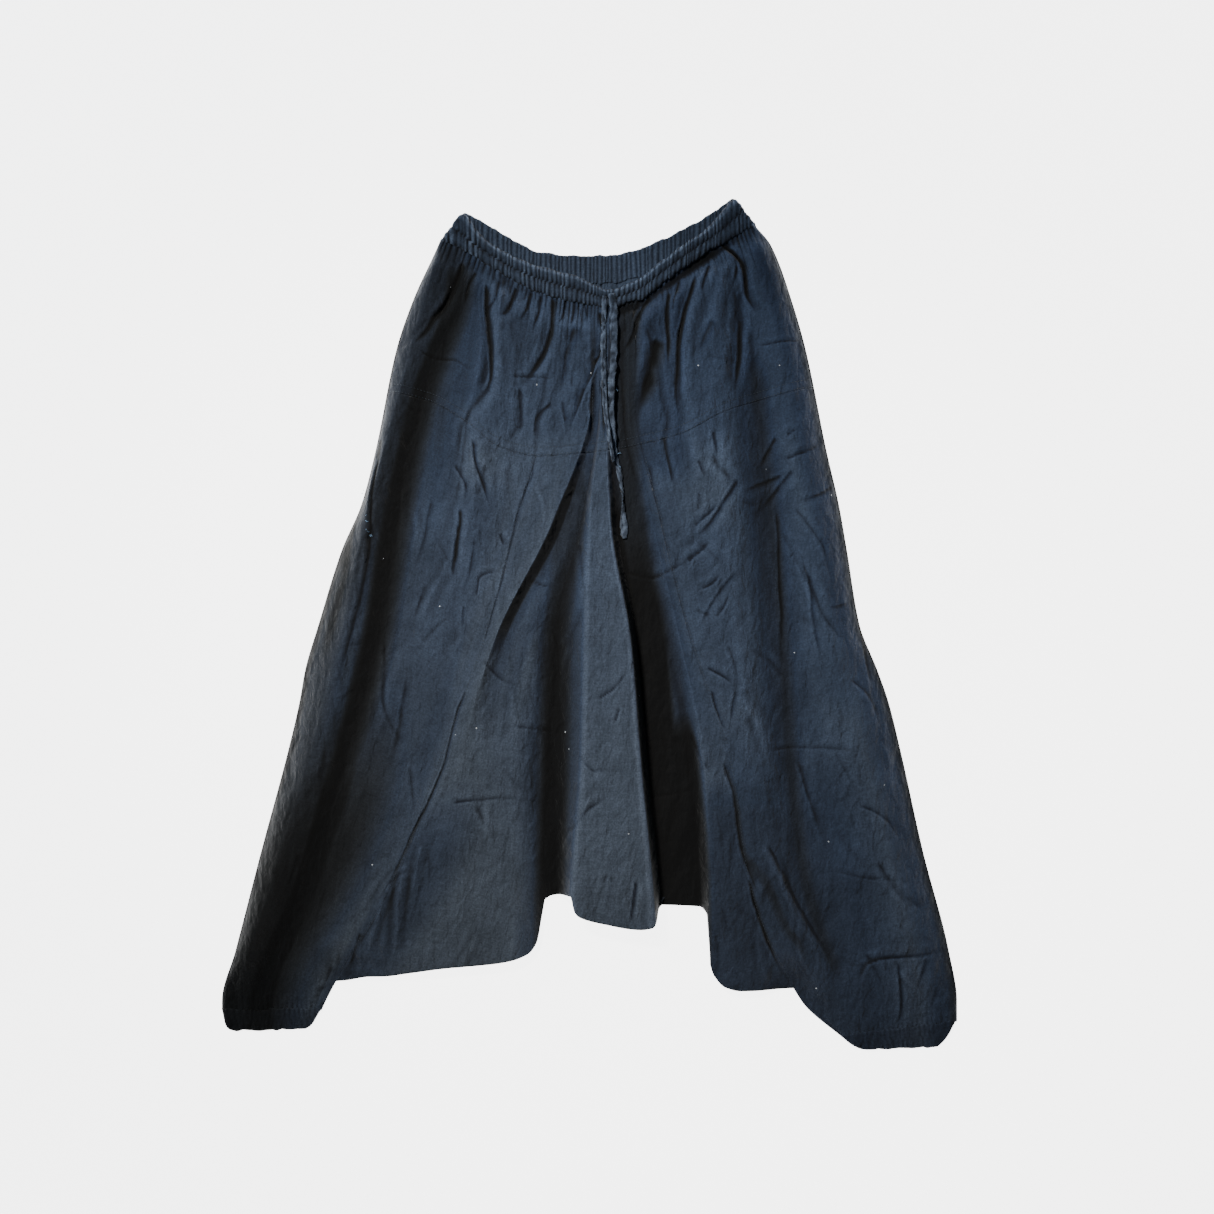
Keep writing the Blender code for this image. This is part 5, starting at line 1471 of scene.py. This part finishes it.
# %% Rows of stitches
STITCH_LENGTH = 2.6
STITCH_PITCH = 3.6
THREAD_RADIUS = 0.28
BEAD_SIDES = 5
BEAD_STATIONS = np.array([0.0, 0.3, 0.7, 1.0])
BEAD_RADII = np.array([0.25, 1.0, 1.0, 0.25]) * THREAD_RADIUS
BEAD_LIFTS = np.array([-0.1, 0.2, 0.2, -0.1])


def tube_faces(rings, count):
    """The faces of so many closed tubes, each of the same number of rings of points."""
    size = rings * BEAD_SIDES
    tube = grid_quads(rings, BEAD_SIDES, wrap_v=True)[:, ::-1]
    faces = []
    for first in range(0, count * size, size):
        faces.extend((tube + first).tolist())
        faces.append(list(range(first, first + BEAD_SIDES)))
        faces.append(list(range(first + size - BEAD_SIDES, first + size))[::-1])
    return faces


def stitch_beads(line):
    """Points of one row of stitches along plan points, lying on the front."""
    at = distances(line)
    starts = np.arange(0, at[-1] - STITCH_LENGTH, STITCH_PITCH)
    along = starts[:, None] + BEAD_STATIONS * STITCH_LENGTH
    x, y = np.interp(along, at, line[:, 0]), np.interp(along, at, line[:, 1])
    z = front_heights(x, y) + CLOTH / 2 + BEAD_LIFTS
    centre = np.stack([x, y, z], axis=-1)
    side, over = directions_beside(centre, axis=1)
    angles = np.linspace(0, 2 * math.pi, BEAD_SIDES, endpoint=False)
    return (
        centre[:, :, None] + side[:, :, None] * (np.cos(angles)[:, None] * BEAD_RADII[:, None, None])
        + over[:, :, None] * (np.sin(angles)[:, None] * BEAD_RADII[:, None, None])
    )


def stitch_piece(name, lines):
    """All the rows of one kind as one object."""
    beads = np.concatenate([stitch_beads(line) for line in lines])
    print(name, "stitches:", len(beads))
    return add_object(name, beads.reshape(-1, 3), tube_faces(len(BEAD_STATIONS), len(beads)))


def yoke_row(rise):
    """Plan points of a row above the yoke's seam."""
    x = np.linspace(-233, 260, 240)
    y = yoke_seam(x) + rise
    inside = (x > left_edge(y) + 3) & (x < right_edge(y) - 3)
    return np.column_stack([x, y])[inside]


def row_beside(line, offset, top, bottom, count):
    """Plan points of a row beside a line that runs down the garment."""
    y = np.linspace(top, bottom, count)
    return np.column_stack([line(y) + offset, y])


yoke_stitches = stitch_piece("yoke_stitches", [yoke_row(rise) for rise in TOPSTITCH_RISE])
seam_stitches = stitch_piece("gusset_stitches", [
    row_beside(CENTRE_GUIDES[0], -2.2, 185, -385, 240), row_beside(CENTRE_GUIDES[-1], 2.2, 185, -400, 240),
])
front_stitches = stitch_piece("centre_front_stitches", [
    row_beside(CENTRE_GUIDES[CENTRE_SEAM], offset, top, 200, 80) for offset, top in ((-3, 340), (-15, 275))
])

# %% [markdown]
# ## Frayed ends
#
# Pale thread ends stand out of the worn parts of the tie and of the fold at the left side. Hair
# could grow there, but two dozen threads are soon placed in listed tufts and by chance. Each is a thin
# tube that bends its own way on what lies below it.

# %% Frayed threads on the tie and at the left side
Fray = namedtuple("Fray", "start end count lengths")
FRAYS = (
    Fray((22, 292), (26, 258), 7, (3, 9)), Fray((28, 199), (31, 178), 8, (3, 8)),
    Fray((-250, 132), (-243, 96), 6, (1.5, 4)), Fray((-254, 150), (-250, 134), 3, (1, 3)),
)
FRAY_RADIUS = 0.3
FRAY_POINTS = 9


def fray_lines(fray, draw):
    """Plan points of a tuft's threads, each bent its own way."""
    for _ in range(fray.count):
        start, end = np.array(fray.start, float), np.array(fray.end, float)
        at = start + (end - start) * draw.uniform() + draw.normal(0, 0.7, 2)
        turns = draw.uniform(0, 2 * math.pi) + np.cumsum(draw.normal(0, 0.5, FRAY_POINTS))
        steps = np.stack([np.cos(turns), np.sin(turns)], axis=-1)
        yield at + np.cumsum(steps * draw.uniform(*fray.lengths) / FRAY_POINTS, axis=0)


def fray_piece(name, frays, lift):
    """Loose thread ends as thin tubes, lying on what is below them."""
    draw = np.random.default_rng(81)
    angles = np.linspace(0, 2 * math.pi, BEAD_SIDES, endpoint=False)
    tubes = []
    for plan in (plan for fray in frays for plan in fray_lines(fray, draw)):
        line = np.column_stack([plan, front_heights(plan[:, 0], plan[:, 1]) + CLOTH / 2 + lift])
        side, over = directions_beside(line)
        tubes.append(line[:, None] + FRAY_RADIUS * (
            side[:, None] * np.cos(angles)[:, None] + over[:, None] * np.sin(angles)[:, None]
        ))
    print(name, "threads:", len(tubes))
    return add_object(name, np.concatenate(tubes).reshape(-1, 3), tube_faces(FRAY_POINTS, len(tubes)))


tie_frays = fray_piece("tie_frays", FRAYS[:2], 2.9)
side_frays = fray_piece("side_frays", FRAYS[2:], 0.35)

# %% [markdown]
# ## Colours and nodes
#
# Colours are picked as they look on a screen, and a renderer reckons with linear light, so one
# function turns each hex value to linear. A material is a tree of nodes, and one more function
# adds a node, sets its options and fills or links its inputs.

# %% Colours and nodes
def from_hex(code):
    """A linear colour from an sRGB hex value."""
    parts = [int(code[i:i + 2], 16) / 255 for i in (1, 3, 5)]
    linear = [v / 12.92 if v <= 0.04045 else ((v + 0.055) / 1.055) ** 2.4 for v in parts]
    return (*linear, 1.0)


def add_node(tree, kind, inputs=None, **settings):
    """Adds a node, sets its options, and fills or links its inputs by name or number."""
    made = tree.nodes.new(kind)
    for option, value in settings.items():
        setattr(made, option, value)
    for socket, value in (inputs or {}).items():
        if isinstance(value, bpy.types.NodeSocket):
            tree.links.new(value, made.inputs[socket])
        else:
            made.inputs[socket].default_value = value
    return made


def new_material(name):
    """A new material, its tree of nodes and its main shader."""
    made = bpy.data.materials.new(name)
    made.use_nodes = True
    return made, made.node_tree, made.node_tree.nodes["Principled BSDF"]


print("mid grey in linear light:", round(from_hex("#808080")[0], 3))

# %% [markdown]
# ## The dye and the painted shade
#
# Everything is one cloth: thin black cotton, washed until its dye has faded to a slate blue on
# the ridges, which also carry some painted highlight. A photo of cloth could be laid over it, but
# a pattern worked out from sizes stays sharp anywhere. The colour goes from furrow to ridge by
# the stored wear and painted shade. Then washing mottles it, slubs streak it, and painted shade
# darkens the folds, black-brown at the bottom and bluish half way up. A painted tint of light
# makes it cooler to the upper right and warmer to the lower left. A few pale specks of lint lie on it.

# %% Dye, painted shade and lint
# Sizes on the real cloth: slubs, which are thick places in a thread, about 1.5 mm wide and 16 mm
# long, clouds of fading a hand's width apart, and a speck of lint every few centimetres. The
# specks of colour are single threads of 0.4 mm, drawn at 2 mm because they would not show.
SLUB_MM = (1.5, 16.0)
MOTTLE_MM = 70.0
SPECK_MM = 2.0
LINT_SPACING_MM = 34.0
LINT_SHARE = 0.024
LINT_COLOUR = "#C9CDD2"
# How dark the deepest painted shade is.
DARKEST_PAINTED_SHADE = 0.04
# Painted hues of the shade at a fold's bottom and half way up, and a painted warm light to the lower left.
DEEP_SHADE_TINT = "#FFEFD8"
HALF_SHADE_TINT = "#DEE9FF"
WARM_LIGHT_TINT = "#FFF6F0"


def slub_pattern(tree, grain):
    """Thick places in the threads, along both directions of the weave."""
    slubs = []
    for across, along in (SLUB_MM, SLUB_MM[::-1]):
        stretched = add_node(tree, "ShaderNodeMapping", {
            "Vector": grain, "Scale": (1 / across, 1 / along, 1.0),
        }).outputs[0]
        slubs.append(add_node(tree, "ShaderNodeTexNoise", {
            "Vector": stretched, "Scale": 1.0, "Detail": 2.0, "Roughness": 0.5,
        }).outputs["Fac"])
    return add_node(tree, "ShaderNodeMath", {0: slubs[0], 1: slubs[1]}, operation="ADD").outputs[0]


def dye_and_painted_shade(tree, place, slub, depth):
    """How light the cloth is: dye mottled, streaked by slubs and speckled, and painted shade in the folds.
    """
    mottle = add_node(tree, "ShaderNodeTexNoise", {
        "Vector": place, "Scale": 1 / (MOTTLE_MM * MM), "Detail": 4.0, "Roughness": 0.6,
    }).outputs["Fac"]
    speck = add_node(tree, "ShaderNodeTexNoise", {
        "Vector": place, "Scale": 1 / (SPECK_MM * MM), "Detail": 1.0,
    }).outputs["Fac"]
    shade = None
    for reading in (
        {0: mottle, 1: 0.3, 2: 0.7, 3: 0.82, 4: 1.2}, {0: slub, 1: 0.7, 2: 1.3, 3: 0.86, 4: 1.14},
        {0: depth, 3: 1.0, 4: DARKEST_PAINTED_SHADE}, {0: speck, 1: 0.25, 2: 0.75, 3: 0.76, 4: 1.24},
    ):
        factor = add_node(tree, "ShaderNodeMapRange", reading).outputs[0]
        if shade is not None:
            factor = add_node(tree, "ShaderNodeMath", {0: shade, 1: factor}, operation="MULTIPLY").outputs[0]
        shade = factor
    return shade


def painted_light_tints(tree, place, depth, cool_light_tint):
    """Painted light's hue: cool at the upper right, warm at the lower left, brown to bluish in painted
    shade.
    """
    parts = add_node(tree, "ShaderNodeSeparateXYZ", {0: place}).outputs
    blue = add_node(tree, "ShaderNodeMath", {0: parts["X"], 1: parts["Y"]}, operation="ADD").outputs[0]
    blue = add_node(tree, "ShaderNodeMapRange", {0: blue, 1: -0.7, 2: 0.45, 3: 0.0, 4: 1.0}).outputs[0]
    tinted = add_node(tree, "ShaderNodeMix", {
        0: blue, 6: from_hex(WARM_LIGHT_TINT), 7: from_hex(cool_light_tint),
    }, data_type="RGBA").outputs[2]
    hue = add_node(tree, "ShaderNodeValToRGB", {0: depth})
    hue.color_ramp.elements[0].color = (1, 1, 1, 1)
    hue.color_ramp.elements[1].color = from_hex(DEEP_SHADE_TINT)
    hue.color_ramp.elements.new(0.4).color = from_hex(HALF_SHADE_TINT)
    return tinted, hue.outputs[0]


def with_lint(tree, place, coloured, lint):
    """The cloth's colour with a few pale specks on it."""
    fleck = add_node(tree, "ShaderNodeTexVoronoi", {
        "Vector": place, "Scale": 1 / (LINT_SPACING_MM * MM), "Randomness": 1.0,
    }).outputs["Distance"]
    is_lint = add_node(tree, "ShaderNodeMath", {0: fleck, 1: LINT_SHARE}, operation="LESS_THAN").outputs[0]
    seen = add_node(tree, "ShaderNodeMath", {0: is_lint, 1: lint}, operation="MULTIPLY").outputs[0]
    return add_node(tree, "ShaderNodeMix", {
        0: seen, 6: coloured, 7: from_hex(LINT_COLOUR),
    }, data_type="RGBA").outputs[2]


print("size of a speck of lint in mm:", round(2 * LINT_SHARE * LINT_SPACING_MM, 1))

# %% [markdown]
# ## The weave and the crumples
#
# Plain weave has about 25 threads to the centimetre, which is finer than a pixel. They are drawn
# 2.6 mm apart, as coarse as they need to be to show. Larger soft facets, where crumpled cloth has
# dried, are too many to model, so three sizes of them are bump as well. Both follow the cloth's
# own stored places or its place on the garment, so they never swim.

# %% Bump of the cloth
DRAWN_THREAD_MM = 2.6
WEAVE_SHARE = 0.35
THREAD_STRENGTH = 0.35
THREAD_HIGH_MM = 0.35
CRUMPLES = ((26.0, 60.0, 7.0), (8.0, 17.0, 3.2), (3.4, 7.0, 0.9))


def thread_bump(tree, grain, slub):
    """Crossing threads, uneven where there are slubs, as a bump."""
    threads = []
    parts = add_node(tree, "ShaderNodeSeparateXYZ", {0: grain}).outputs
    for axis in ("X", "Y"):
        turns = add_node(tree, "ShaderNodeMath", {
            0: parts[axis], 1: 2 * math.pi / DRAWN_THREAD_MM,
        }, operation="MULTIPLY").outputs[0]
        threads.append(add_node(tree, "ShaderNodeMath", {0: turns}, operation="SINE").outputs[0])
    weave = add_node(tree, "ShaderNodeMath", {0: threads[0], 1: threads[1]}, operation="MULTIPLY").outputs[0]
    raised = add_node(tree, "ShaderNodeMath", {
        0: weave, 1: WEAVE_SHARE, 2: slub,
    }, operation="MULTIPLY_ADD").outputs[0]
    return add_node(tree, "ShaderNodeBump", {
        "Height": raised, "Strength": THREAD_STRENGTH, "Distance": THREAD_HIGH_MM * MM,
    }).outputs[0]


def crumple_bump(tree, place, normal):
    """Soft facets of three sizes, longer down the garment than across, on top of a bump."""
    for across_mm, along_mm, high_mm in CRUMPLES:
        drawn = add_node(tree, "ShaderNodeMapping", {
            "Vector": place, "Scale": (1 / (across_mm * MM), 1 / (along_mm * MM), 0.0),
        }).outputs[0]
        facet = add_node(tree, "ShaderNodeTexNoise", {
            "Vector": drawn, "Scale": 1.0, "Detail": 2.0, "Roughness": 0.45, "Distortion": 0.5,
        }).outputs["Fac"]
        normal = add_node(tree, "ShaderNodeBump", {
            "Height": facet, "Normal": normal, "Strength": 1.0, "Distance": high_mm * MM,
        }).outputs[0]
    return normal


print("drawn threads to the centimetre:", round(10 / DRAWN_THREAD_MM, 1))

# %% [markdown]
# ## The finishes
#
# Woven cotton is matt, with a faint sheen of loose fibres, so it is rough with little shine. The
# gathered band is the same cloth, but its furrows are darker by painted shade and its ridges are
# paler by wear and painted highlight. The thread is smoother than the cloth, because spun
# polyester is twisted tight.

# %% Cotton and thread
def woven_cotton(name, furrow, plain, ridge, cool_light_tint, lint):
    """Washed plain-weave cotton, with painted shade in furrows and wear and painted highlight on ridges."""
    made, tree, shader = new_material(name)
    grain = add_node(tree, "ShaderNodeAttribute", attribute_name="grain").outputs["Vector"]
    wear_and_shade = add_node(tree, "ShaderNodeAttribute", attribute_name="wear_and_shade").outputs["Fac"]
    depth = add_node(tree, "ShaderNodeAttribute", attribute_name="deep").outputs["Fac"]
    place = add_node(tree, "ShaderNodeTexCoord").outputs["Object"]

    fade = add_node(tree, "ShaderNodeValToRGB", {0: wear_and_shade})
    fade.color_ramp.elements[0].position = 0.12
    fade.color_ramp.elements[0].color = from_hex(furrow)
    fade.color_ramp.elements[1].position = 0.9
    fade.color_ramp.elements[1].color = from_hex(ridge)
    fade.color_ramp.elements.new(0.5).color = from_hex(plain)

    slub = slub_pattern(tree, grain)
    coloured = add_node(tree, "ShaderNodeVectorMath", {
        0: fade.outputs[0], "Scale": dye_and_painted_shade(tree, place, slub, depth),
    }, operation="SCALE").outputs[0]
    # Painted tints of light, and the hue of the painted shade.
    for tinted in painted_light_tints(tree, place, depth, cool_light_tint):
        coloured = add_node(tree, "ShaderNodeVectorMath", {
            0: coloured, 1: tinted,
        }, operation="MULTIPLY").outputs[0]

    tree.links.new(with_lint(tree, place, coloured, lint), shader.inputs["Base Color"])
    tree.links.new(crumple_bump(tree, place, thread_bump(tree, grain, slub)), shader.inputs["Normal"])
    shader.inputs["Roughness"].default_value = 0.88
    shader.inputs["Specular IOR Level"].default_value = 0.25
    shader.inputs["Sheen Weight"].default_value = 0.12
    shader.inputs["Sheen Roughness"].default_value = 0.5
    return made


# At this scale one turn of the thread's twist is 0.8 mm long.
TWIST_SCALE = 400.0


def spun_thread(name, colour):
    """Spun polyester thread: a little glossier than the cotton, with a twisted surface."""
    made, tree, shader = new_material(name)
    place = add_node(tree, "ShaderNodeTexCoord").outputs["Object"]
    twist = add_node(tree, "ShaderNodeTexWave", {
        "Vector": place, "Scale": TWIST_SCALE, "Distortion": 2.0,
    }).outputs["Fac"]
    shade = add_node(tree, "ShaderNodeMapRange", {0: twist, 3: 0.7, 4: 1.2}).outputs[0]
    twisted = add_node(tree, "ShaderNodeVectorMath", {
        0: from_hex(colour)[:3], "Scale": shade,
    }, operation="SCALE").outputs[0]
    tree.links.new(twisted, shader.inputs["Base Color"])
    shader.inputs["Roughness"].default_value = 0.6
    return made


# Plain-woven cotton, dyed black and washed soft: matt slate blue with lint, painted shade in its furrows.
panel_cotton = woven_cotton("washed_plain_weave_cotton", "#2B3037", "#454E58", "#545E69", "#DEE8FF", 1.0)
# The same cotton over elastic: painted shade near black between gathers, wear and highlight pale on them.
band_cotton = woven_cotton("gathered_cotton_over_elastic", "#14171B", "#3C444E", "#6C7782", "#DEE8FF", 0.3)
# The same cotton folded and sewn to a tie: a little paler from handling.
tie_cotton = woven_cotton("folded_cotton_tie", "#2E353E", "#4C5561", "#626D7A", "#E6EEFF", 0.0)
# Spun polyester thread, which keeps its dark dye, and frayed ends, which have lost theirs.
thread = spun_thread("spun_polyester_thread", "#353D47")
frayed = spun_thread("frayed_pale_blue_thread", "#8FB2D6")
GATHERED = ("waistband", "cuff_left", "cuff_right")
FINISHES = (
    (band_cotton, [pieces[name][0] for name in GATHERED]),
    (panel_cotton, [piece for name, (piece, _) in pieces.items() if name not in GATHERED]),
    (tie_cotton, (long_end, short_end)),
    (thread, (yoke_stitches, seam_stitches, front_stitches)),
    (frayed, (tie_frays, side_frays)),
)
for finish, finished in FINISHES:
    for piece in finished:
        piece.data.materials.append(finish)
    print(finish.name, "on", len(finished), "pieces")

# %% [markdown]
# ## The floor
#
# The photo shows the garment cut out on pure white. A plain pale floor would turn grey under a
# soft light, so this is a light table: an opal sheet that glows evenly, on which hardly any
# shadow shows. It lies half a millimetre below the cloth.

# %% The light table
FLOOR_DROP = 0.5
FLOOR_HALF = 4000.0
FLOOR_CORNERS = ((-1, -1), (1, -1), (1, 1), (-1, 1))
OPAL_GLOW = 5.0

floor_points = np.array([(x * FLOOR_HALF, y * FLOOR_HALF, -FLOOR_DROP) for x, y in FLOOR_CORNERS])
floor = add_object("floor", floor_points, [(0, 1, 2, 3)])
# Opal acrylic lit from behind: white, matt and even.
opal, _, opal_shader = new_material("opal_light_table")
opal_shader.inputs["Base Color"].default_value = from_hex("#BFBFBF")
opal_shader.inputs["Roughness"].default_value = 0.95
opal_shader.inputs["Emission Color"].default_value = (1.0, 1.0, 1.0, 1.0)
opal_shader.inputs["Emission Strength"].default_value = OPAL_GLOW
floor.data.materials.append(opal)
floor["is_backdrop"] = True
print("floor below the cloth in mm:", FLOOR_DROP)

# %% [markdown]
# ## The lamps
#
# The photo's light comes softly from the upper left and is strongest on the middle of the
# garment. One large lamp would light it all alike, so the main lamp is a spot whose edge is
# blended over its whole pool. A weak bluish panel from the left and a faint blue from all around
# keep the folds from going black.

# %% Lamps and surroundings
def add_lamp(name, kind, location, aim, power, colour):
    """A lamp of one kind that faces a point."""
    data = bpy.data.lights.new(name, kind)
    data.energy = power
    data.color = colour
    lamp = bpy.data.objects.new(name, data)
    lamp.location = location
    lamp.rotation_euler = (Vector(aim) - Vector(location)).to_track_quat("-Z", "Y").to_euler()
    bpy.context.scene.collection.objects.link(lamp)
    return data


pool = add_lamp("pool_light", "SPOT", (-0.7, 0.95, 1.75), (0.03, -0.09, 0.0), 202.0, (1.0, 0.97, 0.92))
pool.spot_size = math.radians(38)
pool.spot_blend = 1.0
pool.shadow_soft_size = 0.14
panel = add_lamp("side_light", "AREA", (-1.4, 0.9, 1.0), (0.1, 0.1, 0.0), 6.0, (0.5, 0.75, 1.0))
panel.shape = "SQUARE"
panel.size = 1.0
world = bpy.data.worlds.new("soft_room")
world.use_nodes = True
surroundings = world.node_tree.nodes["Background"]
surroundings.inputs["Color"].default_value = (0.72, 0.86, 1.0, 1.0)
surroundings.inputs["Strength"].default_value = 0.07
bpy.context.scene.world = world
print("lamps:", len(bpy.data.lights))

# %% [markdown]
# ## Joining the looks to the model
#
# Every piece rides on the model's one body, and the CAD part that it stands for is hidden. The
# cut of each is measured from the finished sheet.

# %% Joining the pieces
for name, (piece, middle) in pieces.items():
    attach(piece, "root")
    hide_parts(name)
    size, area = flat_size(middle)

for piece in (yoke_stitches, seam_stitches, front_stitches, side_frays):
    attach(piece, "root")
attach(tie_frays, "root")

for piece, node, line, length in (
    (long_end, "drawstring_long_end", long_line, long_length),
    (short_end, "drawstring_short_end", short_line, short_length),
):
    path = [tuple(float(v) * MM for v in point) for point in line]
    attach(piece, "root")
    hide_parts(node)
    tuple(path[0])
print("pieces joined to the model:", len(pieces) + 7)

# %% [markdown]
# ## The end
#
# The box of the CAD model and the box of what was made are put side by side, and the box of
# what was made is printed.

# %% The two boxes
boxes = {
    "cad": [[float(v) for v in corner] for corner in cad_box],
    "visual": [[float(v) for v in corner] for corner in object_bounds()],
}
print("visual box in mm:", [[round(v / MM, 1) for v in corner] for corner in boxes["visual"]])
